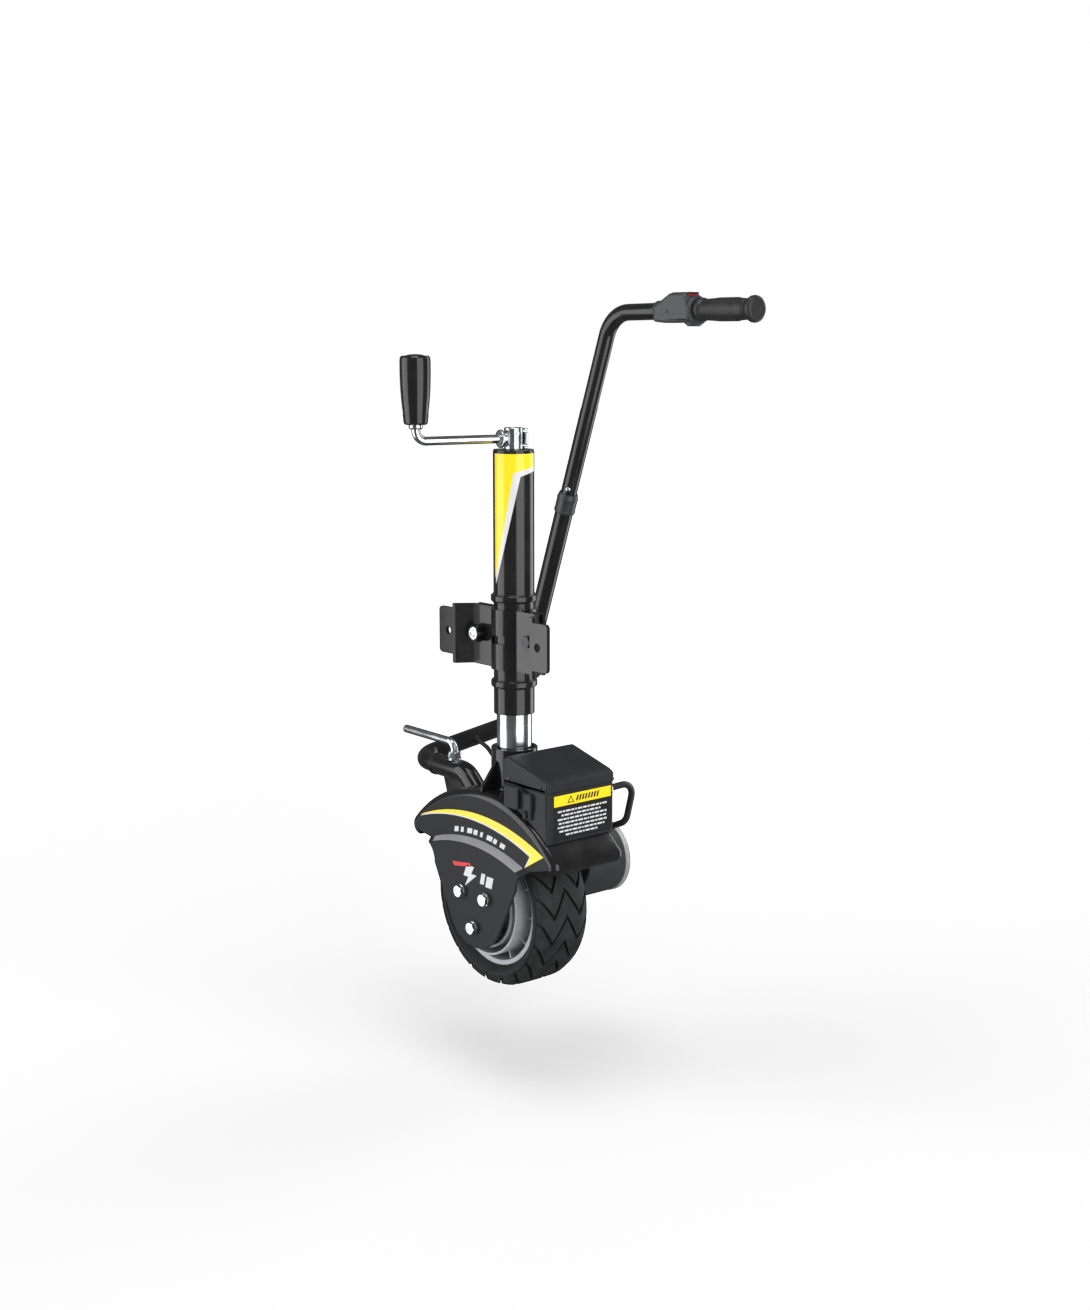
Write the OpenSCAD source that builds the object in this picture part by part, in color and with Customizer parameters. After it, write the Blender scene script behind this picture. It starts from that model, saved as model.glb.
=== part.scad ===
// Powered jockey wheel: a screw jack on a steered wheel that an electric motor drives.
// X is the way the wheel rolls, Y runs along the axle and Z is up. The origin is midway between the
// two bolt holes of the clamp's ears, on the face that bolts to the trailer.

/* [Jack tube] */
// Outside diameter of the outer tube
tube_od = 60; // [50:0.5:70]
// Wall of the outer tube
tube_wall = 2.5; // [2:0.5:4]
// Height of the tube's top above the ear holes
tube_top = 274; // [230:1:330]
// Length of the outer tube
tube_len = 390; // [330:1:460]
// Outside diameter of the lift tube
lift_od = 52; // [40:0.5:52]
// Wall of the lift tube
lift_wall = 2.5; // [2:0.5:4]
// Length of the lift tube that shows below the outer tube
lift_shown = 52; // [50:1:110]
// Diameter of the lead screw
screw_d = 20; // [16:0.5:24]
// How far the two stop rings stand out from the tube
ring_proud = 4; // [3:0.5:6]
// Gap between the clamp and the upper stop ring
ring_above = 9; // [4:1:14]
// Gap between the clamp and the lower stop ring
ring_below = 15; // [4:1:18]

/* [Clamp bracket] */
// Distance between the two ear holes
ear_pitch = 210; // [190:1:250]
// Diameter of the ear holes
ear_hole_d = 13; // [9:0.5:15]
// Distance from the ears' mounting face to the middle of the tube
tube_y = 43; // [38:1:55]
// Width of one ear
ear_w = 37; // [30:1:44]
// Height of the ears
ear_h = 70; // [50:1:80]
// Thickness of the bracket's plate
plate_t = 5; // [4:0.5:6]
// Height of the clamp's middle
clamp_h = 90; // [80:1:100]
// Distance from the tube's middle to the clamp's bolts
clamp_bolt_x = 56; // [52:0.5:60]

/* [Crank] */
// Reach of the crank
crank_reach = 158; // [120:1:162]
// Diameter of the crank rod
rod_d = 12; // [10:0.5:14]
// Length of the crank's knob
knob_len = 96; // [80:1:120]
// Largest diameter of the crank's knob
knob_d = 44; // [38:0.5:46]

/* [Wheel] */
// Diameter of the tyre
tyre_d = 260; // [240:1:270]
// Width of the tyre
tyre_w = 98; // [88:1:104]
// Diameter of the rim at the tyre's edge
rim_d = 198; // [192:1:206]
// Width of the rim
rim_w = 72; // [66:1:76]
// Distance of the tyre's middle from the tube's middle, towards the bolts
wheel_shift = 6; // [4:0.5:8]
// Diameter of the stub axle
axle_d = 20; // [16:0.5:24]
// Height of the fork's socket
socket_h = 60; // [54:1:78]
// Circle of the three axle bolts
bolt_pcd = 68; // [60:1:76]

/* [Fork] */
// Width over the two side plates
fork_w = 136; // [132:1:160]
// Thickness of the side plates and of the crown
sheet_t = 4; // [3:0.5:5]
// Radius of the mudguard's top
guard_r = 232; // [225:1:245]
// Height of the mudguard's top above the axle
guard_rise = 174; // [168:1:184]
// Half length of the mudguard
guard_half = 171; // [160:1:180]
// How far the lower part of the bolt side plate is pressed outwards
dish = 11; // [8:0.5:14]

/* [Motor] */
// Diameter of the motor
motor_d = 112; // [100:1:116]
// Length of the motor's can
motor_len = 92; // [80:1:110]
// Tooth module of the drive gears
gear_m = 1.5; // [1.5:0.5:1.5]
// Teeth on the motor's pinion
pinion_teeth = 14; // [14:1:14]
// Teeth inside the hub gear
hub_teeth = 56; // [56:1:56]

/* [Control box] */
// Length of the control box
box_l = 99; // [90:1:110]
// Width of the control box
box_w = 127; // [110:1:130]
// Distance from the tube's middle to the box
box_x = 51; // [48:1:60]
// Wall of the control box
box_wall = 3; // [2:0.5:4]

/* [Handle] */
// Diameter of the lower handle tube
low_d = 28; // [26:0.5:30]
// Wall of the handle tubes
handle_wall = 1.5; // [1.2:0.1:2]
// Sideways reach of the handle
handle_y = 200; // [198:1:215]
// Distance that the handle passes behind the tube's middle
handle_back = 250; // [240:1:270]
// Height of the handle's top run above the ear holes
handle_top = 474; // [460:1:520]
// Length of the grip
grip_len = 112; // [100:1:125]

/* [Hidden] */
$fn = 64;

// Clearances: a running fit, a gap between pieces that move apart, and a hole for a bolt
run_fit = 0.05;
gap = 0.5;
bolt_gap = 0.2;
// Cut that runs past a face
past = 1;
// A straight runs a little way into each bend, and a bend's wall is that much thicker
bend_lap = 1;
bend_swell = 0.06;

// Jack tube
tube_r = tube_od / 2;
tube_foot = tube_top - tube_len;
bore_r = tube_r - tube_wall;
lift_r = lift_od / 2;
lift_bore_r = lift_r - lift_wall;
bush_h = 30;
cap_h = 8;
cap_lip = 2;
cap_face = tube_top + cap_lip;
bearing_h = 10;
bearing_r = 20;
screw_collar_h = 8;
socket_top = tube_foot - lift_shown;
guard_top = socket_top - socket_h;
axle_drop = guard_rise - guard_top;
socket_floor = 6;
washer_h = 5;
lift_foot = guard_top + socket_floor + washer_h + gap;
lift_head = 105;
screw_foot = -90;
nut_h = 30;
ring_h = 14;

// Clamp
clamp_z = -3;
clamp_top = clamp_z + clamp_h / 2;
clamp_foot = clamp_z - clamp_h / 2;
flange_y = tube_y - tube_r + 11;
flange_x0 = sqrt(tube_r * tube_r - pow(tube_y - flange_y - plate_t, 2)) + 1.5;
flange_x1 = 76;
ear_x0 = ear_pitch / 2 - ear_w / 2 + 3.5;
ear_x1 = ear_x0 + ear_w;
collar_t = 4;
bolt_hole_r = 5 + bolt_gap;
back_gap = 6;

// Crank
crank_z = cap_face + 16;
hub_h = 31;
hub_r = 13.5;
hub_bore = 10;
crank_angle = -100;
crank_bend = 16;
knob_foot = crank_z + 24;
ferrule_foot = crank_z + crank_bend + bend_lap;

// Wheel, fork and drive
tyre_r = tyre_d / 2;
rim_r = rim_d / 2;
axle_z = -axle_drop;
guard_z = guard_top - guard_r;
plate_y = fork_w / 2;
inner_y = plate_y - sheet_t;
gear_step = gear_m * (hub_teeth - pinion_teeth) / 2;
motor_z = axle_z + gear_step;
motor_r = motor_d / 2;
housing_l = 18;
can_y0 = plate_y + housing_l;
can_y1 = can_y0 + motor_len;
end_cap_l = 14;
can_wall = 3;
shaft_r = 6;
gear_y0 = 24;
gear_w = 14;
gear_edge = gear_y0 + gear_w + 3;
bearing_od = 42;
bearing_w = 12;

// Control box
box_x1 = box_x + box_l;
box_y0 = 1.5 - box_w / 2;
box_y1 = box_y0 + box_w;
box_seam = guard_top + 24;
box_back_top = guard_top + 63;
box_front_top = guard_top + 36;
box_foot = guard_z + sqrt(guard_r * guard_r - box_x1 * box_x1);

// Handle
low_r = low_d / 2;
socket_wall = 2;
socket_r = low_r + run_fit + socket_wall;
socket_z = guard_top - 3;
socket_x0 = -198;
lever_x = -150;
handle_in_x = -136;
up_r = low_r - handle_wall - 0.1;
handle_rise = 30;
top_corner = [-8, handle_y, handle_top];
low_corner = [-handle_back, handle_y, socket_z + handle_rise];
elbow = [-handle_back, 0, socket_z];
lean = (top_corner - low_corner) / norm(top_corner - low_corner);
joint_at = 412;
joint_p = low_corner + lean * joint_at;
collar_len = 33;
collar_r = low_r + 2;
housing_x0 = 97;
housing_x1 = 178;
housing_half = low_r + 3;
grip_x0 = 182;
rocker_x = 151;
rocker_z = handle_top + 31;
rocker_half = 9;
pivot_z = handle_top + 22;
pivot_r = 2;
pivot_half = 12;

// ---------------------------------------------------------------- helpers

function unit(v) = v / norm(v);
function side_of(u) = unit(abs(u.z) < 0.9 ? cross([0, 0, 1], u) : cross([1, 0, 0], u));

// Moves children from the tube's axis to the part's frame
module at_tube() { translate([0, tube_y, 0]) children(); }

// Puts the children's axes on x, y and z with their origin at o
module frame3(o, x, y, z) {
    multmatrix([[x.x, y.x, z.x, o.x], [x.y, y.y, z.y, o.y], [x.z, y.z, z.z, o.z], [0, 0, 0, 1]])
        children();
}

// Lays a profile's Z along u from point p
module along(p, u) { frame3(p, side_of(u), cross(u, side_of(u)), u) children(); }

// A rod or tube through the points of path, with each inner corner bent to radius bend
function turn(path, i) = acos(unit(path[i] - path[i - 1]) * unit(path[i + 1] - path[i]));
function cutback(path, i, bend) =
    i == 0 || i == len(path) - 1 ? 0 : bend * tan(turn(path, i) / 2);

module bent(path, r, bend, bore = 0) {
    for (i = [0 : len(path) - 2]) {
        u = unit(path[i + 1] - path[i]);
        a = max(0, cutback(path, i, bend) - bend_lap);
        b = max(0, cutback(path, i + 1, bend) - bend_lap);
        along(path[i] + u * a, u)
            linear_extrude(norm(path[i + 1] - path[i]) - a - b) ring(r, bore);
    }
    for (i = [1 : len(path) - 2]) {
        u = unit(path[i] - path[i - 1]);
        v = unit(path[i + 1] - path[i]);
        n = unit(v - (u * v) * u);
        centre = path[i] - u * cutback(path, i, bend) + n * bend;
        frame3(centre, -n, u, cross(u, n))
            rotate_extrude(angle = turn(path, i)) translate([bend, 0])
                ring(r + bend_swell, bore > 0 ? bore - bend_swell : 0);
    }
}

module ring(r, bore) {
    if (bore > 0) difference() { circle(r); circle(bore); }
    else circle(r);
}

module pipe(r, bore, h) { linear_extrude(h) ring(r, bore); }

module hex(across, h) { cylinder(r = across / sqrt(3), h = h, $fn = 6); }

// Turns the children's Z to -Y or +Y
module to_near() { rotate([90, 0, 0]) children(); }
module to_far() { rotate([-90, 0, 0]) children(); }

module round_rect(w, h, r) {
    square([w - 2 * r, h], center = true);
    square([w, h - 2 * r], center = true);
    for (x = [-1, 1], y = [-1, 1])
        translate([x * (w / 2 - r), y * (h / 2 - r)]) circle(r);
}

function arc(cx, cy, r, a0, a1, n) =
    [for (i = [0 : n]) let (a = a0 + (a1 - a0) * i / n) [cx + r * cos(a), cy + r * sin(a)]];

// Outline of a gear's teeth at pitch radius m * z / 2; slim teeth leave backlash
function gear_outline(z, m, tip, root, half_tip, half_root) =
    [for (i = [0 : z - 1]) let (a = 360 * i / z, p = m * z / 2)
        each [
            [(p + root) * cos(a - half_root), (p + root) * sin(a - half_root)],
            [(p + tip) * cos(a - half_tip), (p + tip) * sin(a - half_tip)],
            [(p + tip) * cos(a + half_tip), (p + tip) * sin(a + half_tip)],
            [(p + root) * cos(a + half_root), (p + root) * sin(a + half_root)]
        ]];

// ---------------------------------------------------------------- jack tube and clamp

module outer_tube() {
    color("#141414") at_tube() translate([0, 0, tube_foot]) pipe(tube_r, bore_r, tube_len);
}

module stop_rings() {
    color("#141414") at_tube()
        for (z = [clamp_top + ring_above + ring_h / 2, clamp_foot - ring_below - ring_h / 2])
            translate([0, 0, z]) rotate_extrude()
                polygon([
                    [tube_r, -ring_h / 2], [tube_r + ring_proud - 2, -ring_h / 2], [tube_r + ring_proud, 2 - ring_h / 2],
                    [tube_r + ring_proud, ring_h / 2 - 2], [tube_r + ring_proud - 2, ring_h / 2], [tube_r, ring_h / 2]
                ]);
}

module tube_cap() {
    color("#1c1c1c") at_tube() difference() {
        union() {
            translate([0, 0, tube_top - cap_h + cap_lip]) cylinder(r = bore_r, h = cap_h - cap_lip);
            translate([0, 0, tube_top]) cylinder(r = tube_r - 0.5, h = cap_lip);
        }
        translate([0, 0, tube_top - cap_h]) cylinder(r = screw_d / 2 + run_fit, h = cap_h + cap_lip + past);
    }
}

bearing_top = tube_top - cap_h + cap_lip - gap;
race_h = 3;
ball_r = (bearing_h - 2 * race_h) / 2 - run_fit;

module thrust_bearing() {
    color("#b9bdc1") at_tube() translate([0, 0, bearing_top - bearing_h]) {
        for (z = [0, bearing_h - race_h])
            translate([0, 0, z]) pipe(bearing_r, screw_d / 2 + gap, race_h);
        for (i = [0 : 11])
            rotate([0, 0, i * 30]) translate([bearing_r - 4.5, 0, bearing_h / 2]) sphere(ball_r, $fn = 24);
    }
}

module guide_bush() {
    color("#d8d4c8") at_tube() translate([0, 0, tube_foot]) pipe(bore_r, lift_r + run_fit, bush_h);
}

// Plan of the front half of the clamp, without its ears
module clamp_plan(sign_y) {
    difference() {
        circle(tube_r + collar_t);
        circle(tube_r);
        translate([-200, sign_y > 0 ? -400 - 16 + back_gap : -16]) square([400, 400]);
    }
}

module clamp_front() {
    color("#181818") difference() {
        union() {
            at_tube() translate([0, 0, clamp_foot]) linear_extrude(clamp_h) {
                clamp_plan(-1);
                for (s = [-1, 1])
                    translate([s > 0 ? flange_x0 - 1 : -flange_x1, flange_y - tube_y])
                        square([flange_x1 - flange_x0 + 1, plate_t]);
            }
            translate([0, 0, clamp_foot]) linear_extrude(clamp_h)
                for (s = [-1, 1])
                    scale([s, 1])
                        polygon([
                            [flange_x1 - 3, flange_y], [ear_x0 - 2, 0], [ear_x0 + 4, 0],
                            [ear_x0 + 4, plate_t], [flange_x1, flange_y + plate_t],
                            [flange_x1 - 3, flange_y + plate_t]
                        ]);
            for (s = [-1, 1])
                translate([s * (ear_x0 + ear_x1) / 2, plate_t, 0]) to_near()
                    linear_extrude(plate_t) round_rect(ear_w, ear_h, 6);
        }
        for (s = [-1, 1])
            translate([s * ear_pitch / 2, -past, 0]) to_far()
                cylinder(d = ear_hole_d, h = plate_t + 2 * past);
        for (s = [-1, 1])
            translate([s * clamp_bolt_x, flange_y - past, 0]) to_far()
                cylinder(r = bolt_hole_r, h = plate_t + 2 * past);
        translate([-18, tube_y - tube_r - 30, -9]) cube([36, 40, 12]);
    }
}

module clamp_back() {
    back_y = flange_y + plate_t + back_gap;
    back_x0 = tube_r + 1;
    color("#181818") difference() {
        translate([0, 0, clamp_foot]) linear_extrude(clamp_h) {
            at_tube() difference() {
                circle(tube_r + collar_t);
                circle(tube_r);
                translate([-200, -400 + back_y - tube_y]) square([400, 400]);
            }
            for (s = [-1, 1])
                translate([s > 0 ? back_x0 : -flange_x1, back_y]) square([flange_x1 - back_x0, plate_t]);
        }
        for (s = [-1, 1])
            translate([s * clamp_bolt_x, back_y - past, 0]) to_far()
                cylinder(r = bolt_hole_r, h = plate_t + 2 * past);
    }
}

// Fixed bolt on the right and both nuts behind the clamp
module clamp_bolt() {
    back = flange_y + 2 * plate_t + back_gap;
    color("#c4c8cc") {
        translate([clamp_bolt_x, flange_y, 0]) {
            to_near() hex(17, 6.5);
            to_far() cylinder(r = 5, h = 2 * plate_t + back_gap + 12);
        }
        translate([clamp_bolt_x, back, 0]) to_far() difference() {
            hex(17, 8);
            translate([0, 0, -past]) cylinder(r = 5, h = 8 + 2 * past);
        }
        translate([-clamp_bolt_x, back, 0]) to_far() difference() {
            hex(17, 8);
            translate([0, 0, -past]) cylinder(r = 5 + run_fit, h = 8 + 2 * past);
        }
    }
}

knob_proud = 15;
star_r = 16;
lobe_r = 4.5;

// Lobed knob with its stud moulded in
module clamp_knob() {
    color("#101010") translate([-clamp_bolt_x, flange_y - gap, 0]) {
        to_near() difference() {
            union() {
                cylinder(r = star_r - 3, h = knob_proud);
                for (i = [0 : 5])
                    rotate([0, 0, i * 60]) translate([star_r - lobe_r, 0, 0]) cylinder(r = lobe_r, h = knob_proud);
            }
            translate([0, 0, knob_proud - 2]) cylinder(r = 9, h = 3);
        }
        translate([0, -past, 0]) to_far() cylinder(r = 5, h = 2 * plate_t + back_gap + 16);
    }
}

// ---------------------------------------------------------------- crank and screw

module lead_screw() {
    color("#9aa0a6") at_tube() {
        translate([0, 0, screw_foot]) cylinder(r = screw_d / 2, h = crank_z - hub_h / 2 - screw_foot);
        translate([0, 0, bearing_top - bearing_h - gap - screw_collar_h])
            cylinder(r = 18, h = screw_collar_h);
        translate([0, 0, crank_z - hub_h / 2 - past]) cylinder(r = 10, h = hub_h - 3);
    }
}

// Slotted sleeve that holds the rod
module crank_hub() {
    color("#c9ccd0") at_tube() translate([0, 0, crank_z - hub_h / 2]) difference() {
        cylinder(r = hub_r, h = hub_h);
        translate([0, 0, -past]) cylinder(r = hub_bore, h = hub_h + 2 * past);
        rotate([0, 0, crank_angle]) translate([0, 0, hub_h / 2]) rotate([0, 90, 0])
            cylinder(r = rod_d / 2, h = hub_r + past);
        rotate([0, 0, crank_angle + 90]) translate([-20, 0, hub_h - 8]) rotate([0, 90, 0])
            cylinder(r = 3, h = 40);
    }
}

module hub_pin() {
    color("#b0b4b8") at_tube() translate([0, 0, crank_z + hub_h / 2 - 8])
        rotate([0, 0, crank_angle + 90]) {
            pin_l = hub_r - hub_bore + 1.5;
            translate([hub_bore + 0.7, 0, 0]) rotate([0, 90, 0]) cylinder(r = 3, h = pin_l);
            translate([-hub_r - 2.2, 0, 0]) rotate([0, 90, 0]) cylinder(r = 3, h = pin_l);
        }
}

module crank_rod() {
    color("#c9ccd0") at_tube() rotate([0, 0, crank_angle]) translate([0, 0, crank_z]) {
        bent([[10.5, 0, 0], [crank_reach, 0, 0], [crank_reach, 0, knob_foot - crank_z + knob_len - 12]],
            rod_d / 2, crank_bend);
        translate([hub_r + 6, 0, 0]) rotate([0, 90, 0]) pipe(13, rod_d / 2, 4);
    }
}

module on_crank_pin() {
    at_tube() rotate([0, 0, crank_angle]) translate([crank_reach, 0, 0]) children();
}

module knob_ferrule() {
    color("#c9ccd0") on_crank_pin() translate([0, 0, ferrule_foot])
        pipe(10, rod_d / 2, knob_foot - gap - ferrule_foot);
}

module crank_knob() {
    color("#0e0e0e") on_crank_pin() translate([0, 0, knob_foot]) rotate_extrude()
        polygon([
            [rod_d / 2 + run_fit, 0], [knob_d / 2 - 7.5, 0], [knob_d / 2 - 6, 2],
            [knob_d / 2 - 2, knob_len * 0.45],
            [knob_d / 2, knob_len - 10], [knob_d / 2 - 1, knob_len - 3], [knob_d / 2 - 4, knob_len],
            [15, knob_len], [15, knob_len - 5], [rod_d / 2 + run_fit, knob_len - 5]
        ]);
}

module knob_cap() {
    color("#242424") on_crank_pin() translate([0, 0, knob_foot + knob_len - 5]) cylinder(r = 15, h = 3);
}

// ---------------------------------------------------------------- lift tube

module lift_tube() {
    color("#c4c8cc") at_tube() translate([0, 0, lift_foot]) pipe(lift_r, lift_bore_r, lift_head - lift_foot);
}

module lead_nut() {
    color("#b5903c") at_tube() translate([0, 0, lift_head - nut_h])
        pipe(lift_bore_r, screw_d / 2 + run_fit, nut_h);
}

pin_r = 10;
pin_nut_h = 12;
pin_foot = guard_top - sheet_t - gap - pin_nut_h - 4;

// Plug in the lift tube's foot, its pin and the nut under the crown
module kingpin() {
    color("#a9aeb3") at_tube() {
        translate([0, 0, lift_foot]) cylinder(r = lift_bore_r, h = 14);
        translate([0, 0, pin_foot]) cylinder(r = pin_r, h = lift_foot - pin_foot + past);
        translate([0, 0, guard_top - sheet_t - gap - pin_nut_h - 1]) hex(30, pin_nut_h);
    }
}

// ---------------------------------------------------------------- fork

socket_bore = lift_od + 8;
socket_od = socket_bore + 9;

module fork_socket() {
    color("#1a1a1c") at_tube() translate([0, 0, guard_top]) difference() {
        cylinder(d = socket_od, h = socket_top - guard_top);
        translate([0, 0, socket_floor]) cylinder(d = socket_bore, h = socket_top - guard_top);
        translate([0, 0, -past]) cylinder(r = pin_r + gap, h = 10);
    }
}

module swivel_bush() {
    color("#d8d4c8") at_tube() {
        translate([0, 0, guard_top + socket_floor + washer_h])
            pipe(socket_bore / 2, lift_r + run_fit, socket_top - guard_top - socket_floor - washer_h - 3);
        translate([0, 0, guard_top + socket_floor]) pipe(socket_bore / 2, pin_r + run_fit, washer_h);
    }
}

// Upright gussets from the socket to the side plates, and the one under the handle socket
module fork_gussets() {
    color("#1a1a1c") at_tube() {
        difference() {
            for (s = [-1, 1])
                translate([-sheet_t / 2, 0, 0]) rotate([90, 0, 90]) linear_extrude(sheet_t)
                    polygon([
                        [s * (socket_od / 2 - 1), guard_top], [s * inner_y, guard_top],
                        [s * inner_y, guard_top + 6], [s * (socket_od / 2 - 1), socket_top - 14]
                    ]);
            translate([0, 0, guard_top - past]) cylinder(d = socket_od, h = socket_top - guard_top);
        }
        difference() {
            translate([0, sheet_t / 2, 0]) to_near() linear_extrude(sheet_t)
                polygon([
                    [-176, socket_z - socket_r + 0.5], [-112, socket_z - socket_r + 0.5], [-100, guard_top - 22],
                    [-160, guard_top - 65]
                ]);
            translate([0, -20, guard_z]) to_far() cylinder(r = guard_r, h = 40, $fn = 200);
            handle_socket_tube();
        }
    }
}

// Curved sheet that joins the side plates over the wheel
module crown_plate() {
    half = asin((guard_half + 2) / guard_r);
    color("#151515") at_tube() difference() {
        translate([0, inner_y, guard_z]) to_near() rotate([0, 0, 90 - half])
            linear_extrude(2 * inner_y) difference() {
                circle(guard_r, $fn = 240);
                circle(guard_r - sheet_t, $fn = 240);
                rotate(180) translate([-400, 0]) square([800, 800]);
                rotate(2 * half) translate([-400, 0]) square([800, 800]);
            }
        translate([0, 0, guard_top - 30]) cylinder(r = pin_r + gap, h = 40);
    }
}

// Side plate: mudguard flank above, rounded boss round the axle below
tip_r = 12;
boss_r = 66;
band_drop = 80;
neck_x = 98;
neck_r = 34;
neck_z = band_drop - neck_r;

function half_plate() =
    let (
        cz = guard_rise - guard_r,
        tip_a = acos(guard_half / guard_r) + 1,
        reach = norm([neck_x, neck_z]),
        tangent = atan2(neck_z, neck_x) - acos(boss_r / reach)
    )
    concat(
        arc(0, cz, guard_r, 90, tip_a, 20),
        arc((guard_r - tip_r) * cos(tip_a), cz + (guard_r - tip_r) * sin(tip_a), tip_r, tip_a - 15, tip_a - 150, 9),
        arc(neck_x + neck_r, neck_z, neck_r, 95, 180, 9),
        arc(0, 0, boss_r, tangent, -90, 12)
    );

module plate_outline() {
    half = half_plate();
    other = [for (i = [len(half) - 2 : -1 : 1]) [-half[i].x, half[i].y]];
    polygon(concat(half, other));
}

module side_plate(y) {
    at_tube() translate([0, y + sheet_t, axle_z]) to_near() linear_extrude(sheet_t) plate_outline();
}

step_at = [-8, -212];
step_r = 309;

// Sheet with its lower part pressed outwards, stepping along a curved line
module pressed_plate() {
    at_tube() translate([0, -inner_y, axle_z]) to_near() {
        linear_extrude(sheet_t) difference() {
            plate_outline();
            translate(step_at) circle(step_r - sheet_t, $fn = 180);
        }
        linear_extrude(dish + sheet_t) intersection() {
            plate_outline();
            translate(step_at) difference() {
                circle(step_r, $fn = 180);
                circle(step_r - sheet_t, $fn = 180);
            }
        }
        translate([0, 0, dish]) linear_extrude(sheet_t) intersection() {
            plate_outline();
            translate(step_at) circle(step_r, $fn = 180);
        }
    }
}

bolt_angles = [30, 150, 270];

module at_bolts() {
    for (a = bolt_angles)
        translate([bolt_pcd / 2 * cos(a), 0, axle_z + bolt_pcd / 2 * sin(a)]) children();
}

module bolt_side_plate() {
    color("#101012") difference() {
        pressed_plate();
        at_tube() at_bolts() translate([0, -plate_y - dish - past, 0]) to_far()
            cylinder(r = 5 + bolt_gap, h = sheet_t + 2 * past);
    }
}

module motor_side_plate() {
    color("#101012") difference() {
        side_plate(inner_y);
        at_tube() {
            translate([0, inner_y - past, motor_z]) to_far() cylinder(r = shaft_r + 4, h = sheet_t + 2 * past);
            translate([0, inner_y - past, axle_z]) to_far() cylinder(r = 6 + bolt_gap, h = sheet_t + 2 * past);
        }
    }
}

flange_l = 8;
hub_half = 36;
axle_y = inner_y + dish;

module stub_axle() {
    color("#8e9398") at_tube() translate([0, 0, axle_z]) difference() {
        union() {
            translate([0, -axle_y, 0]) to_far() cylinder(r = 45, h = flange_l);
            translate([0, -axle_y, 0]) to_far() cylinder(r = 16, h = axle_y - hub_half - 2);
            translate([0, -axle_y, 0]) to_far() cylinder(r = axle_d / 2, h = inner_y + axle_y);
            translate([0, -axle_y, 0]) to_far() cylinder(r = 6, h = inner_y + axle_y + sheet_t);
        }
        for (a = bolt_angles)
            translate([bolt_pcd / 2 * cos(a), -axle_y - past, bolt_pcd / 2 * sin(a)]) to_far()
                cylinder(r = 5, h = flange_l + 2 * past);
    }
}

washer_t = 2.5;

module axle_bolts() {
    color("#ccd0d4") at_tube() at_bolts() translate([0, -plate_y - dish - washer_t, 0]) {
        to_near() hex(17, 7);
        to_far() cylinder(r = 5, h = washer_t + sheet_t + flange_l);
    }
}

module bolt_washers() {
    color("#3a3c3e") at_tube() at_bolts() translate([0, -plate_y - dish, 0]) to_near() pipe(11, 5, washer_t);
}

// ---------------------------------------------------------------- motor and drive

module at_motor(y) { at_tube() translate([0, y, motor_z]) children(); }

module gear_housing() {
    color("#1b1b1d") at_motor(plate_y) to_far() difference() {
        cylinder(r = motor_r, h = housing_l);
        translate([0, 0, 6]) cylinder(r = motor_r - 8, h = housing_l);
        translate([0, 0, -past]) cylinder(r = shaft_r + run_fit, h = housing_l);
    }
}

module motor_can() {
    color("#262628") at_motor(can_y0) to_far() pipe(motor_r, motor_r - can_wall, motor_len);
}

module motor_end_cap() {
    color("#b8bab8") at_motor(can_y1) to_far() difference() {
        union() {
            cylinder(r = motor_r + 1, h = end_cap_l - 4);
            cylinder(r = motor_r - 6, h = end_cap_l);
        }
        translate([0, 0, -past]) cylinder(r = shaft_r - 1 + run_fit, h = end_cap_l - 4);
    }
}

core_r = 34;
magnet_r = core_r + 1.5;

module motor_magnets() {
    color("#4a4a4e") at_motor(can_y0 + 8) to_far() difference() {
        pipe(motor_r - can_wall, magnet_r, motor_len - 34);
        for (a = [0, 90])
            rotate([0, 0, a]) translate([-motor_r, -6, -past]) cube([motor_d, 12, motor_len]);
    }
}

comm_r = 14;

module motor_brushes() {
    color("#3b332c") at_motor(can_y1 - 18) for (s = [-1, 1])
        translate([s > 0 ? comm_r + gap : -comm_r - gap - 22, 0, -5]) cube([22, 12, 10]);
}

module armature() {
    color("#8a5a36") {
        at_motor(can_y0 + 10) to_far() cylinder(r = core_r, h = motor_len - 38);
        at_motor(can_y1 - 20) to_far() cylinder(r = comm_r, h = 16);
        at_motor(plate_y - 8) to_far() cylinder(r = shaft_r, h = can_y1 - plate_y - 1);
        at_motor(can_y1 - 10) to_far() cylinder(r = shaft_r - 1, h = 10 + end_cap_l - 6);
    }
}

tooth_root = 1.7;
tooth_tip = 1.3;

module drive_pinion() {
    color("#9aa0a6") at_motor(0) {
        translate([0, gear_y0, 0]) to_far() linear_extrude(gear_w)
            rotate(90) polygon(gear_outline(pinion_teeth, gear_m, tooth_tip, -tooth_root, 2.4, 7.6));
        translate([0, gear_y0 + gear_w, 0]) to_far() cylinder(r = shaft_r, h = plate_y - 8 - gear_y0 - gear_w);
    }
}

module hub_gear() {
    color("#8f959a") at_tube() translate([0, gear_y0 - 2, axle_z]) to_far() linear_extrude(gear_w + 4)
        difference() {
            circle(gear_seat_r);
            rotate(90)
                polygon(gear_outline(hub_teeth, gear_m, tooth_root, -tooth_tip, 1.32, 2.15));
        }
}

// ---------------------------------------------------------------- wheel

near_edge = rim_w / 2 + wheel_shift;
far_edge = wheel_shift - rim_w / 2;
flange_r = rim_r - 1;
seat_r = rim_r - 6;
barrel_r = seat_r - 3;
drum_face = inner_y + dish - 13;
inner_ring_r = 79;
hub_ring_r = 67;
rim_ring_t = 4;
rib_count = 12;
web_t = 2;
gear_seat_r = 50;
gear_wall = 6;

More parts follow.
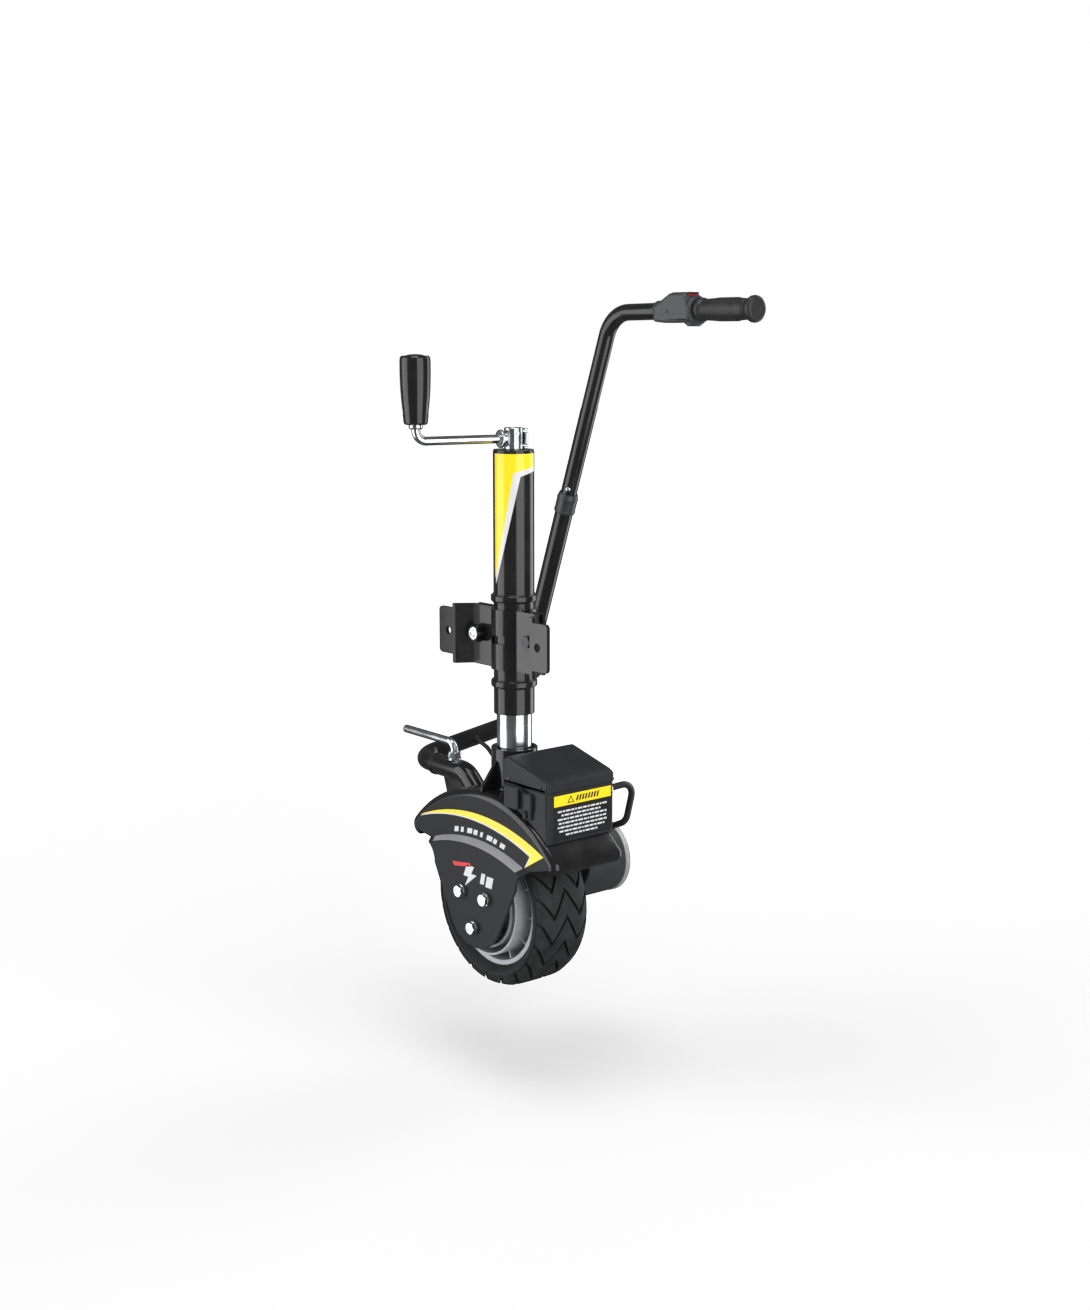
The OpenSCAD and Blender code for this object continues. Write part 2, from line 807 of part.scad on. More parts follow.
module rim() {
    color("#aeb2b6") at_tube() translate([0, 0, axle_z]) to_near() {
        rotate_extrude($fn = 120) polygon([
            [bearing_od / 2, -20], [32, -20], [32, -8], [gear_seat_r, -8], [gear_seat_r, -gear_edge],
            [gear_seat_r + gear_wall, -gear_edge], [gear_seat_r + gear_wall, -8], [barrel_r, -8],
            [barrel_r, far_edge], [flange_r, far_edge], [flange_r, far_edge + 2], [seat_r, far_edge + 5],
            [seat_r, near_edge - 5], [flange_r, near_edge - 2], [flange_r, near_edge], [barrel_r, near_edge],
            [barrel_r, web_t], [inner_ring_r, web_t], [inner_ring_r, drum_face],
            [inner_ring_r - rim_ring_t, drum_face], [inner_ring_r - rim_ring_t, web_t],
            [hub_ring_r, web_t], [hub_ring_r, drum_face], [hub_ring_r - rim_ring_t, drum_face],
            [hub_ring_r - rim_ring_t, web_t], [32, web_t], [32, hub_half], [bearing_od / 2, hub_half]
        ]);
        for (i = [0 : rib_count - 1])
            rotate([0, 0, -5 - i * 360 / rib_count]) translate([inner_ring_r - 1, -1.5, web_t - 1])
                cube([barrel_r - inner_ring_r + 1.5, 3, near_edge - web_t - 2]);
    }
}

module tyre() {
    near = wheel_shift + tyre_w / 2;
    far = wheel_shift - tyre_w / 2;
    wall = tyre_r - rim_r;
    color("#1d1f20") at_tube() translate([0, 0, axle_z]) to_near() rotate_extrude($fn = 120) polygon([
        [seat_r, far_edge + 5], [flange_r, far_edge + 2], [flange_r + 0.5, far_edge],
        [rim_r + 0.2 * wall, far + 5], [rim_r + 0.36 * wall, far], [tyre_r - 0.26 * wall, far + 5],
        [tyre_r - 2, far + 15], [tyre_r, wheel_shift], [tyre_r - 2, near - 15],
        [tyre_r - 0.26 * wall, near - 5], [rim_r + 0.36 * wall, near], [rim_r + 0.2 * wall, near - 5],
        [flange_r + 0.5, near_edge], [flange_r, near_edge - 2], [seat_r, near_edge - 5]
    ]);
}

module wheel_bearings() {
    color("#b9bdc1") at_tube() translate([0, 0, axle_z]) for (y = [-hub_half, 20 - bearing_w])
        translate([0, y, 0]) to_far() pipe(bearing_od / 2, axle_d / 2 + run_fit, bearing_w);
}

// ---------------------------------------------------------------- control box

// Side view of the box between two heights, as X and Z
module box_side(inset, low) {
    polygon([
        [box_x + inset, low], [box_x1 - inset, low],
        [box_x1 - inset, box_front_top - inset * 1.1], [box_x1 - 7 - inset * 0.6, box_front_top + 5 - inset],
        [box_x + 8 + inset * 0.4, box_back_top - inset], [box_x + inset, box_back_top - 5 - inset]
    ]);
}

module box_base() {
    color("#18191b") at_tube() difference() {
        translate([0, box_y1, 0]) to_near() linear_extrude(box_w)
            polygon([[box_x, box_foot - 20], [box_x1, box_foot - 20], [box_x1, box_seam], [box_x, box_seam]]);
        translate([box_x + box_wall, box_y0 + box_wall, box_foot + 60])
            cube([box_l - 2 * box_wall, box_w - 2 * box_wall, 100]);
        translate([box_x + 34, box_y0 + box_wall, box_foot + 38])
            cube([box_l - box_wall - 34, box_w - 2 * box_wall, 100]);
        translate([0, -200, guard_z]) to_far() cylinder(r = guard_r, h = 400, $fn = 200);
        translate([gland_x, box_y1 - box_wall - past, gland_z]) to_far() cylinder(r = 6, h = box_wall + 2 * past);
        translate([sock_x, box_y0 - past, sock_z - 2]) to_far() cylinder(r = barrel_out_r, h = sock_deep + past);
    }
}

module box_lid() {
    color("#1c1e20") at_tube() difference() {
        translate([0, box_y1 + 1, 0]) to_near() linear_extrude(box_w + 2) box_side(-1, box_seam + 0.4);
        translate([0, box_y1 - box_wall, 0]) to_near() linear_extrude(box_w - 2 * box_wall)
            box_side(box_wall, box_seam - 1);
    }
}

board_z = -222;
post_h = board_z - box_foot - 38;

module circuit_board() {
    color("#1f5c38") at_tube() translate([box_x + 40, box_y0 + 10, board_z]) {
        cube([50, 100, 1.6]);
        for (x = [4, 46], y = [4, 96]) translate([x, y, -post_h]) cylinder(r = 3, h = post_h);
    }
}

module relays() {
    color("#22314f") at_tube() for (y = [0 : 3])
        translate([box_x + 45, box_y0 + 16 + y * 23, board_z + 1.6]) cube([26, 17, 16]);
}

sock_x = 82;
sock_z = -222;
sock_deep = 8;
barrel_out_r = 12;

module power_socket() {
    color("#141416") at_tube() translate([0, box_y0, 0]) difference() {
        union() {
            translate([sock_x - 16, -6, sock_z - 14]) cube([32, 6, 27]);
            for (x = [20, 31]) translate([sock_x + x, -5, sock_z - 14]) cube([5, 5, 25]);
            translate([sock_x, -past, sock_z - 2]) to_far() cylinder(r = barrel_out_r, h = sock_deep + past);
        }
        translate([sock_x, -6 - past, sock_z - 2]) to_far() cylinder(r = 10, h = 6 + sock_deep - 1);
    }
}

flap_hinge_z = sock_z + 17;
flap_hinge_y = box_y0 - 9.5;

// Cover that hangs over the power socket from a pin along its top
module socket_flap() {
    color("#1a1a1c") at_tube() {
        translate([sock_x - 16, flap_hinge_y, flap_hinge_z]) rotate([0, 90, 0]) cylinder(r = 3, h = 32);
        translate([sock_x - 16, flap_hinge_y - 3, sock_z - 14]) cube([32, 4, 31]);
    }
}

module box_latch() {
    color("#141416") at_tube() translate([0, box_y0, 0]) {
        translate([sock_x + 18, -4, sock_z - 28]) cube([14, 4, 13]);
        translate([sock_x + 22, -8, sock_z - 26]) cube([6, 5, 10]);
    }
}

gland_z = -222;
gland_x = box_x1 - 22;

module cable_gland() {
    color("#c9ccd0") at_tube() translate([gland_x, box_y1, gland_z]) to_far() {
        difference() {
            union() {
                hex(22, 6);
                cylinder(r = 8.5, h = 14);
                translate([0, 0, -box_wall]) cylinder(r = 6, h = box_wall);
            }
            translate([0, 0, -box_wall - past]) cylinder(r = cable_r, h = box_wall + 14 + 2 * past);
        }
    }
}

cable_r = 4.5;
thin_r = 3;

// Routes of the two leads, from the tube's axis
motor_route = [
    [gland_x, box_y1 - box_wall, gland_z], [gland_x, 112, gland_z], [gland_x - 14, 122, gland_z - 38],
    [gland_x - 60, 116, gland_z - 84], [20, 112, motor_z + motor_r - 12]
];
switch_route = [
    [-handle_back + low_r + 1, 112, socket_z + 17], [-206, 110, socket_z + 8], [-130, 80, socket_z - 8],
    [-40, 76, socket_z + 12], [18, 72, socket_z + 14], [32, 50, socket_z + 14], [box_x, 50, socket_z + 14]
];

module motor_cable() {
    color("#0d0d0d") difference() {
        at_tube() bent(motor_route, cable_r, 12);
        at_motor(can_y0) to_far() cylinder(r = motor_r, h = motor_len);
    }
}

module switch_cable() { color("#0d0d0d") at_tube() bent(switch_route, thin_r, 14); }

module cover_screws() {
    color("#2c2d2f") at_tube() {
        for (x = [box_x + 12, box_x1 - 14], s = [-1, 1])
            translate([x, s > 0 ? box_y1 + 1 : box_y0 - 1, box_seam + 7])
                rotate([s > 0 ? -90 : 90, 0, 0]) cylinder(r = 3.5, h = 2);
        for (a = [35, 155, 275])
            translate([42 * cos(a), can_y1 + end_cap_l, motor_z + 42 * sin(a)]) to_far() cylinder(r = 4, h = 5);
    }
}

// ---------------------------------------------------------------- handle

// Tube that runs level over the wheel and bends down into the crown
module handle_socket_tube(bore = 0) {
    bent([[socket_x0, 0, socket_z], [-120, 0, socket_z], [-70, 0, socket_z - 44]], socket_r, 34, bore);
}

module handle_socket() {
    color("#1a1a1c") at_tube() difference() {
        handle_socket_tube(low_r + run_fit);
        translate([0, -60, guard_z]) to_far() cylinder(r = guard_r, h = 120, $fn = 200);
        translate([lever_x, 0, socket_z]) cylinder(r = 6 + run_fit, h = 30);
    }
}

nut_z = socket_z + socket_r - 1;

module lever_nut() {
    color("#c9ccd0") at_tube() translate([lever_x, 0, nut_z]) difference() {
        hex(19, 12.5);
        translate([0, 0, -past]) cylinder(r = 6 + run_fit, h = 20);
        translate([-20, 0, socket_z - nut_z]) rotate([0, 90, 0]) cylinder(r = socket_r, h = 40);
    }
}

lever_z = nut_z + 27;
lever_reach = 132;

module clamp_lever() {
    color("#c9ccd0") at_tube() bent([
        [lever_x, 0, socket_z + low_r + gap], [lever_x, 0, lever_z], [lever_x - lever_reach, 0, lever_z + 1]
    ], 6, 14);
}

handle_bend = 38;

module lower_handle() {
    color("#141416") at_tube()
        bent([[handle_in_x, 0, socket_z], elbow, low_corner, joint_p], low_r, handle_bend, low_r - handle_wall);
}

module handle_collar() {
    color("#101012") at_tube() along(joint_p - lean * (collar_len - 8), lean) difference() {
        cylinder(r = collar_r, h = collar_len);
        translate([0, 0, -past]) cylinder(r = low_r, h = collar_len - 8 + past);
        cylinder(r = up_r + 0.1, h = collar_len + past);
    }
}

button_at = joint_p + lean * 18;
button_dir = unit([1, -1.2, 0.2] - ([1, -1.2, 0.2] * lean) * lean);

module collar_button() {
    color("#b9bdc1") at_tube() along(button_at + button_dir * (up_r - 5), button_dir) cylinder(r = 4, h = 8);
}

module upper_handle() {
    color("#141416") at_tube() difference() {
        bent([joint_p - lean * 90, top_corner, [grip_x0 + 60, handle_y, handle_top + 3]],
            up_r, 52, up_r - handle_wall);
        along(button_at, button_dir) cylinder(r = 4 + run_fit, h = 30);
    }
}

module switch_housing() {
    color("#121214") at_tube() translate([0, handle_y, 0]) difference() {
        union() {
            translate([0, housing_half, 0]) to_near() linear_extrude(2 * housing_half)
                polygon([
                    [housing_x0, handle_top - 16], [housing_x0, handle_top + 14],
                    [housing_x0 + 34, handle_top + 27], [housing_x1 - 14, handle_top + 27],
                    [housing_x1 - 4, handle_top + 18], [housing_x1 - 4, handle_top - 16],
                    [housing_x1 - 20, handle_top - 21], [housing_x0 + 14, handle_top - 21]
                ]);
            translate([housing_x1 - 8, 0, handle_top + 1]) rotate([0, 90, 0]) cylinder(r = 22, h = 8);
        }
        translate([housing_x0 - 10, 0, handle_top + 2]) rotate([0, 90, 0]) cylinder(r = up_r + 1, h = 120);
        translate([rocker_x - 15 - 2 * gap, -rocker_half - gap, handle_top + 16])
            cube([30 + 4 * gap, 2 * rocker_half + 2 * gap, 20]);
        translate([rocker_x, -pivot_half - gap, pivot_z]) to_far()
            cylinder(r = pivot_r + run_fit, h = 2 * (pivot_half + gap));
    }
}

// Red switch that rocks about an axis across the handle
module rocker() {
    color("#c4161c") at_tube() {
        translate([rocker_x, handle_y + rocker_half, rocker_z - 6]) to_near() linear_extrude(2 * rocker_half)
            polygon([[-14.5, -1], [0, -5], [14.5, -1], [14.5, 3.5], [0, 1.8], [-14.5, 3.5]]);
        translate([rocker_x, handle_y - pivot_half, pivot_z]) to_far() cylinder(r = pivot_r, h = 2 * pivot_half);
    }
}

module grip() {
    color("#0f0f10") at_tube() translate([grip_x0, handle_y, handle_top + 2.4]) rotate([0, 90, 0])
        difference() {
            union() {
                rotate_extrude() polygon([
                    [0, 0], [17, 0], [17, 5], [15, 8], [14.6, 20], [16.6, 45], [16.2, 62], [14.6, 86],
                    [15, 100], [19, 103], [19, grip_len - 3], [17, grip_len], [0, grip_len]
                ]);
            }
            translate([0, 0, -past]) cylinder(r = up_r + 1, h = 66);
        }
}

outer_tube();
stop_rings();
tube_cap();
thrust_bearing();
guide_bush();
clamp_front();
clamp_back();
clamp_bolt();
clamp_knob();
lead_screw();
crank_hub();
hub_pin();
crank_rod();
knob_ferrule();
crank_knob();
knob_cap();
lift_tube();
lead_nut();
kingpin();
fork_socket();
swivel_bush();
fork_gussets();
crown_plate();
bolt_side_plate();
motor_side_plate();
stub_axle();
axle_bolts();
bolt_washers();
gear_housing();
motor_can();
motor_end_cap();
motor_magnets();
motor_brushes();
cover_screws();
armature();
drive_pinion();
box_base();
box_lid();
circuit_board();
relays();
power_socket();
socket_flap();
box_latch();
cable_gland();
motor_cable();
switch_cable();
handle_socket();
lever_nut();
clamp_lever();
tyre();
rim();
wheel_bearings();
hub_gear();
lower_handle();
handle_collar();
collar_button();
upper_handle();
switch_housing();
rocker();
grip();
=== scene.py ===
# Looks of the powered jockey wheel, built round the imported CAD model.
# Lengths are in millimetres in the tube's frame (origin on the tube's axis) until piece() turns them to metres.
import math

import bmesh
import bpy
import numpy as np
from mathutils import Matrix, Vector


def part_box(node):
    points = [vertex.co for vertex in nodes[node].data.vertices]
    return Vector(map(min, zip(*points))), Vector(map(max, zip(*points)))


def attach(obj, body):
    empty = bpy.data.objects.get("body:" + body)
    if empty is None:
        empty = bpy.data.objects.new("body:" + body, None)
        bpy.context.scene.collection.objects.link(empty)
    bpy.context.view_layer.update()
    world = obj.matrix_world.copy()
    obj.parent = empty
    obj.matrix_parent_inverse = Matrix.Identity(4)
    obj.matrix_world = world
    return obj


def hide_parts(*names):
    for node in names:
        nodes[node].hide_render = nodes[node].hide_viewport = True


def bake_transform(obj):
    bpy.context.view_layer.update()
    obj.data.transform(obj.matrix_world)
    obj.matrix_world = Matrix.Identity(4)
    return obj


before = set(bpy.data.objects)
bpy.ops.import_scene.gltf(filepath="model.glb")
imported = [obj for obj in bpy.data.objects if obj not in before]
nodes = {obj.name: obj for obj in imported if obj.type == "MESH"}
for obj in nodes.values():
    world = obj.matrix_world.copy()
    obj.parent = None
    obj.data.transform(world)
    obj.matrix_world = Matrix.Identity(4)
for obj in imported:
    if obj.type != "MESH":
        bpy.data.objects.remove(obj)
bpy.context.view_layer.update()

MM = 0.001


# ---------------------------------------------------------------- dimensions, from the frame

def span(node):
    low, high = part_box(node)
    return low / MM, high / MM


tube_lo, tube_hi = span("outer_tube")
TUBE_Y = (tube_lo.y + tube_hi.y) / 2
TUBE_R = (tube_hi.x - tube_lo.x) / 2
TUBE_TOP, TUBE_FOOT = tube_hi.z, tube_lo.z
tyre_lo, tyre_hi = span("tyre")
AXLE_Z = (tyre_lo.z + tyre_hi.z) / 2
TYRE_R = (tyre_hi.z - tyre_lo.z) / 2
TYRE_HALF = (tyre_hi.y - tyre_lo.y) / 2
TYRE_MID = TUBE_Y - (tyre_lo.y + tyre_hi.y) / 2
plate_lo, plate_hi = span("motor_side_plate")
PLATE_Y = plate_hi.y - TUBE_Y
SHEET = plate_hi.y - plate_lo.y
INNER_Y = PLATE_Y - SHEET
DISH = TUBE_Y - span("bolt_side_plate")[0].y - PLATE_Y
GUARD_TOP = plate_hi.z
GUARD_HALF = plate_hi.x
GUARD_R = 232
GUARD_Z = GUARD_TOP - GUARD_R
BOSS_R = AXLE_Z - plate_lo.z
rim_lo, rim_hi = span("rim")
RIM_R = (rim_hi.z - rim_lo.z) / 2
RIM_HALF = 36
DRUM_FACE = TUBE_Y - rim_lo.y


# ---------------------------------------------------------------- materials

def node_material(name, colour, rough, metal=0.0, grain=None, mottle=None, patchy=0.0, coat=0.0, specular=0.5):
    """A Principled material: grain is (scale, height in mm) of a fine bump, mottle (scale, amount) varies the
    colour and patchy the roughness over the same large noise."""
    m = bpy.data.materials.new(name)
    m.use_nodes = True
    tree = m.node_tree
    shader = tree.nodes["Principled BSDF"]
    shader.inputs["Base Color"].default_value = (*colour, 1)
    shader.inputs["Roughness"].default_value = rough
    shader.inputs["Metallic"].default_value = metal
    shader.inputs["Coat Weight"].default_value = coat
    shader.inputs["Coat Roughness"].default_value = 0.08
    shader.inputs["Specular IOR Level"].default_value = specular
    place = tree.nodes.new("ShaderNodeTexCoord")
    if mottle:
        noise = tree.nodes.new("ShaderNodeTexNoise")
        noise.inputs["Scale"].default_value = mottle[0]
        noise.inputs["Detail"].default_value = 6
        tree.links.new(place.outputs["Object"], noise.inputs["Vector"])
        ramp = tree.nodes.new("ShaderNodeValToRGB")
        ramp.color_ramp.elements[0].position = 0.3
        ramp.color_ramp.elements[1].position = 0.7
        ramp.color_ramp.elements[0].color = (*[c * (1 - mottle[1]) for c in colour], 1)
        ramp.color_ramp.elements[1].color = (*[min(1, c * (1 + mottle[1])) for c in colour], 1)
        tree.links.new(noise.outputs["Fac"], ramp.inputs["Fac"])
        tree.links.new(ramp.outputs["Color"], shader.inputs["Base Color"])
        if patchy:
            spread = tree.nodes.new("ShaderNodeMapRange")
            spread.inputs["From Min"].default_value = 0.3
            spread.inputs["From Max"].default_value = 0.7
            spread.inputs["To Min"].default_value = max(0.02, rough - patchy)
            spread.inputs["To Max"].default_value = rough + patchy
            tree.links.new(noise.outputs["Fac"], spread.inputs["Value"])
            tree.links.new(spread.outputs["Result"], shader.inputs["Roughness"])
    if grain:
        fine = tree.nodes.new("ShaderNodeTexNoise")
        fine.inputs["Scale"].default_value = grain[0]
        fine.inputs["Detail"].default_value = 3
        tree.links.new(place.outputs["Object"], fine.inputs["Vector"])
        bump = tree.nodes.new("ShaderNodeBump")
        bump.inputs["Strength"].default_value = 1.0
        bump.inputs["Distance"].default_value = grain[1] * MM
        tree.links.new(fine.outputs["Fac"], bump.inputs["Height"])
        tree.links.new(bump.outputs["Normal"], shader.inputs["Normal"])
    return m


gloss_black = node_material("gloss_black_coat", (0.012, 0.012, 0.013), 0.17, grain=(420, 0.05),
                            mottle=(35, 0.2), patchy=0.05, coat=0.3, specular=0.35)
satin_black = node_material("satin_black_coat", (0.030, 0.032, 0.034), 0.38, grain=(900, 0.05),
                            mottle=(30, 0.15), patchy=0.06)
plate_black = node_material("plate_black_coat", (0.024, 0.025, 0.028), 0.34, grain=(700, 0.04),
                            mottle=(22, 0.12), patchy=0.05, specular=0.10)
zinc = node_material("bright_zinc", (0.78, 0.82, 0.85), 0.20, metal=1.0, grain=(260, 0.05),
                     mottle=(28, 0.10), patchy=0.07)
steel = node_material("machined_steel", (0.50, 0.52, 0.54), 0.32, metal=1.0, grain=(500, 0.04), mottle=(60, 0.12))
dark_steel = node_material("oxide_steel", (0.09, 0.09, 0.095), 0.42, metal=1.0, grain=(600, 0.06), mottle=(60, 0.2))
cast_silver = node_material("cast_silver_paint", (0.50, 0.51, 0.50), 0.42, metal=0.55, grain=(900, 0.12),
                            mottle=(40, 0.08), patchy=0.06)
rim_alloy = node_material("machined_alloy", (0.48, 0.49, 0.51), 0.42, metal=0.35, grain=(400, 0.05), mottle=(40, 0.1))
rubber = node_material("tread_rubber", (0.022, 0.023, 0.024), 0.62, grain=(1100, 0.10), mottle=(45, 0.3),
                       patchy=0.08, specular=0.25)
soft_rubber = node_material("grip_rubber", (0.018, 0.018, 0.019), 0.46, grain=(1300, 0.08), mottle=(60, 0.2),
                            patchy=0.05)
box_plastic = node_material("grained_plastic", (0.022, 0.023, 0.026), 0.40, grain=(1500, 0.12), mottle=(30, 0.12),
                            patchy=0.05, specular=0.22)
gloss_plastic = node_material("gloss_plastic", (0.012, 0.012, 0.013), 0.14, grain=(90, 0.03), mottle=(40, 0.15),
                              patchy=0.03)
dark_plastic = node_material("dark_grey_plastic", (0.040, 0.042, 0.044), 0.38, grain=(1500, 0.08),
                             mottle=(40, 0.12), patchy=0.05)
acetal = node_material("acetal", (0.78, 0.75, 0.68), 0.45, grain=(500, 0.03), mottle=(50, 0.05))
red_plastic = node_material("red_plastic", (0.62, 0.012, 0.015), 0.22, grain=(300, 0.02), mottle=(60, 0.06))
bronze = node_material("bronze", (0.60, 0.42, 0.20), 0.34, metal=1.0, grain=(600, 0.06), mottle=(60, 0.15))
jacket = node_material("cable_jacket", (0.020, 0.020, 0.021), 0.36, grain=(900, 0.05), mottle=(80, 0.15))
board = node_material("solder_resist", (0.04, 0.20, 0.09), 0.30, grain=(500, 0.03), mottle=(200, 0.2))
relay_blue = node_material("relay_blue", (0.03, 0.08, 0.26), 0.30, grain=(600, 0.03), mottle=(60, 0.08))
copper = node_material("copper_winding", (0.55, 0.27, 0.14), 0.36, metal=1.0, grain=(900, 0.2), mottle=(200, 0.3))
ferrite = node_material("ferrite", (0.06, 0.06, 0.065), 0.55, grain=(900, 0.1), mottle=(90, 0.2))
yellow = node_material("yellow_vinyl", (0.92, 0.70, 0.010), 0.26, grain=(160, 0.02), mottle=(30, 0.04), coat=0.3)
white = node_material("white_vinyl", (0.66, 0.67, 0.68), 0.30, grain=(160, 0.02), mottle=(30, 0.03))
# grey for the painted highlight on the sloped step strip, the light that the slope catches drawn as colour
grey = node_material("painted_highlight_grey", (0.28, 0.28, 0.30), 0.28, grain=(160, 0.02), mottle=(30, 0.06))
label_black = node_material("black_vinyl", (0.018, 0.018, 0.019), 0.24, grain=(160, 0.02), mottle=(30, 0.1))

CAD_LOOKS = {
    gloss_black: "outer_tube stop_rings clamp_front clamp_back fork_socket fork_gussets crown_plate "
                 "bolt_side_plate motor_side_plate handle_socket lower_handle handle_collar upper_handle",
    satin_black: "gear_housing motor_can",
    zinc: "crank_hub hub_pin crank_rod knob_ferrule lift_tube axle_bolts cable_gland lever_nut "
          "clamp_lever collar_button",
    steel: "thrust_bearing lead_screw kingpin stub_axle drive_pinion wheel_bearings hub_gear",
    dark_steel: "clamp_bolt bolt_washers motor_brushes cover_screws",
    cast_silver: "motor_end_cap",
    rim_alloy: "rim",
    rubber: "tyre",
    soft_rubber: "grip",
    box_plastic: "box_base box_lid power_socket socket_flap box_latch tube_cap",
    gloss_plastic: "clamp_knob crank_knob knob_cap",
    dark_plastic: "switch_housing swivel_bush",
    acetal: "guide_bush",
    red_plastic: "rocker",
    bronze: "lead_nut",
    jacket: "motor_cable switch_cable",
    board: "circuit_board",
    relay_blue: "relays",
    copper: "armature",
    ferrite: "motor_magnets",
}
for look, names in CAD_LOOKS.items():
    for name in names.split():
        mesh = nodes[name].data
        mesh.materials.clear()
        mesh.materials.append(look)
for name, width in {"clamp_front": 0.9, "clamp_back": 0.9, "clamp_bolt": 0.5, "stub_axle": 0.8,
                    "relays": 0.4, "kingpin": 0.6}.items():
    edge = nodes[name].modifiers.new("edge", "BEVEL")
    edge.width = width * MM
    edge.segments = 3
    edge.limit_method = "ANGLE"
    edge.angle_limit = math.radians(50)
    edge.harden_normals = True


# ---------------------------------------------------------------- shapes: a shape is (points, faces)

def join(*shapes):
    points, faces = [], []
    for p, f in shapes:
        shift = len(points)
        points += list(p)
        faces += [[i + shift for i in face] for face in f]
    return points, faces


def put(shape, origin=(0, 0, 0), z=(0, 0, 1), x=None):
    """The shape with its Z along z, its X near x and its origin at origin."""
    z = Vector(z).normalized()
    x = Vector(x) if x is not None else (Vector((1, 0, 0)) if abs(z.x) < 0.9 else Vector((0, 1, 0)))
    x = (x - z * x.dot(z)).normalized()
    y = z.cross(x)
    o = Vector(origin)
    return [o + x * p[0] + y * p[1] + z * p[2] for p in shape[0]], shape[1]


NEAR, FAR = (0, -1, 0), (0, 1, 0)


def rounded(points, radius=0.0, steps=5, closed=True):
    """Corners of an outline turned to arcs; a point's third number is its own radius."""
    out, n = [], len(points)
    for i, p in enumerate(points):
        r = p[2] if len(p) > 2 else radius
        here = Vector(p[:2])
        if not closed and i in (0, n - 1) or r <= 0:
            out.append((here.x, here.y))
            continue
        a, b = Vector(points[i - 1][:2]) - here, Vector(points[(i + 1) % n][:2]) - here
        if a.length < 1e-6 or b.length < 1e-6:
            out.append((here.x, here.y))
            continue
        angle = a.angle(b)
        if angle > math.pi - 0.02:
            out.append((here.x, here.y))
            continue
        cut = min(r / math.tan(angle / 2), a.length * 0.49, b.length * 0.49)
        r = cut * math.tan(angle / 2)
        start, end = here + a.normalized() * cut, here + b.normalized() * cut
        centre = here + (a.normalized() + b.normalized()).normalized() * (r / math.sin(angle / 2))
        u, v = start - centre, end - centre
        turn = u.angle(v)
        for k in range(steps + 1):
            t = k / steps
            w = (math.sin((1 - t) * turn) * u + math.sin(t * turn) * v) / math.sin(turn)
            out.append((centre.x + w.x, centre.y + w.y))
    return out


def arc(cx, cy, r, a0, a1, n=12):
    return [(cx + r * math.cos(math.radians(a0 + (a1 - a0) * i / n)),
             cy + r * math.sin(math.radians(a0 + (a1 - a0) * i / n))) for i in range(n + 1)]


def circle(r, n=48, cx=0.0, cy=0.0):
    return arc(cx, cy, r, 0, 360 * (n - 1) / n, n - 1)


def lathe(profile, n=96, closed=True, start=0.0, sweep=360.0):
    """A profile of (radius, z) turned about Z; points at radius 0 become poles."""
    full = abs(sweep) >= 360
    columns = n if full else n + 1
    points, rows = [], []
    for r, z in [p[:2] for p in profile]:
        if r < 1e-6:
            points.append((0, 0, z))
            rows.append([len(points) - 1] * columns)
        else:
            first = len(points)
            for i in range(columns):
                a = math.radians(start + sweep * i / n)
                points.append((r * math.cos(a), r * math.sin(a), z))
            rows.append(list(range(first, first + columns)))
    faces = []
    pairs = list(zip(rows, rows[1:])) + ([(rows[-1], rows[0])] if closed else [])
    for a, b in pairs:
        for i in range(n):
            j = (i + 1) % columns
            face = [a[i], a[j], b[j], b[i]]
            slim = [v for k, v in enumerate(face) if v not in face[:k]]
            if len(slim) > 2:
                faces.append(slim)
    if not full and closed:
        faces.append([row[0] for row in rows])
        faces.append([row[-1] for row in reversed(rows)])
    return points, faces


def plate(loops, z0, z1, edge=0.6, steps=2):
    """Flat outlines, the first one solid and the rest holes, raised from z0 to z1 with rounded edges."""
    data = bpy.data.curves.new("plate", "CURVE")
    data.dimensions = "2D"
    data.fill_mode = "BOTH"
    for loop in loops:
        line = data.splines.new("POLY")
        line.points.add(len(loop) - 1)
        for p, q in zip(line.points, loop):
            p.co = (q[0], q[1], 0, 1)
        line.use_cyclic_u = True
    data.extrude = (z1 - z0) / 2 - edge
    data.bevel_depth = edge
    data.bevel_resolution = steps
    data.offset = -edge
    holder = bpy.data.objects.new("plate", data)
    mesh = bpy.data.meshes.new_from_object(holder)
    shape = [(v.co.x, v.co.y, v.co.z + (z0 + z1) / 2) for v in mesh.vertices], \
            [list(f.vertices) for f in mesh.polygons]
    bpy.data.objects.remove(holder)
    bpy.data.curves.remove(data)
    bpy.data.meshes.remove(mesh)
    return shape


def block(x0, x1, y0, y1, z0, z1, edge=0.8, corner=None):
    """A box with rounded upright corners and rounded top and bottom edges."""
    corner = edge if corner is None else corner
    return plate([rounded([(x0, y0), (x1, y0), (x1, y1), (x0, y1)], corner, 4)], z0, z1, edge)


def filleted(path, bend, steps=8):
    """Path of 3-D points with each inner corner bent to radius bend."""
    path = [Vector(p) for p in path]
    out = [path[0]]
    for a, b, c in zip(path, path[1:], path[2:]):
        u, v = (a - b).normalized(), (c - b).normalized()
        angle = u.angle(v)
        if angle > math.pi - 0.02:
            out.append(b)
            continue
        cut = min(bend / math.tan(angle / 2), (a - b).length * 0.49, (c - b).length * 0.49)
        r = cut * math.tan(angle / 2)
        centre = b + (u + v).normalized() * (r / math.sin(angle / 2))
        s, e = b + u * cut - centre, b + v * cut - centre
        turn = s.angle(e)
        for k in range(steps + 1):
            t = k / steps
            out.append(centre + (math.sin((1 - t) * turn) * s + math.sin(t * turn) * e) / math.sin(turn))
    out.append(path[-1])
    return out


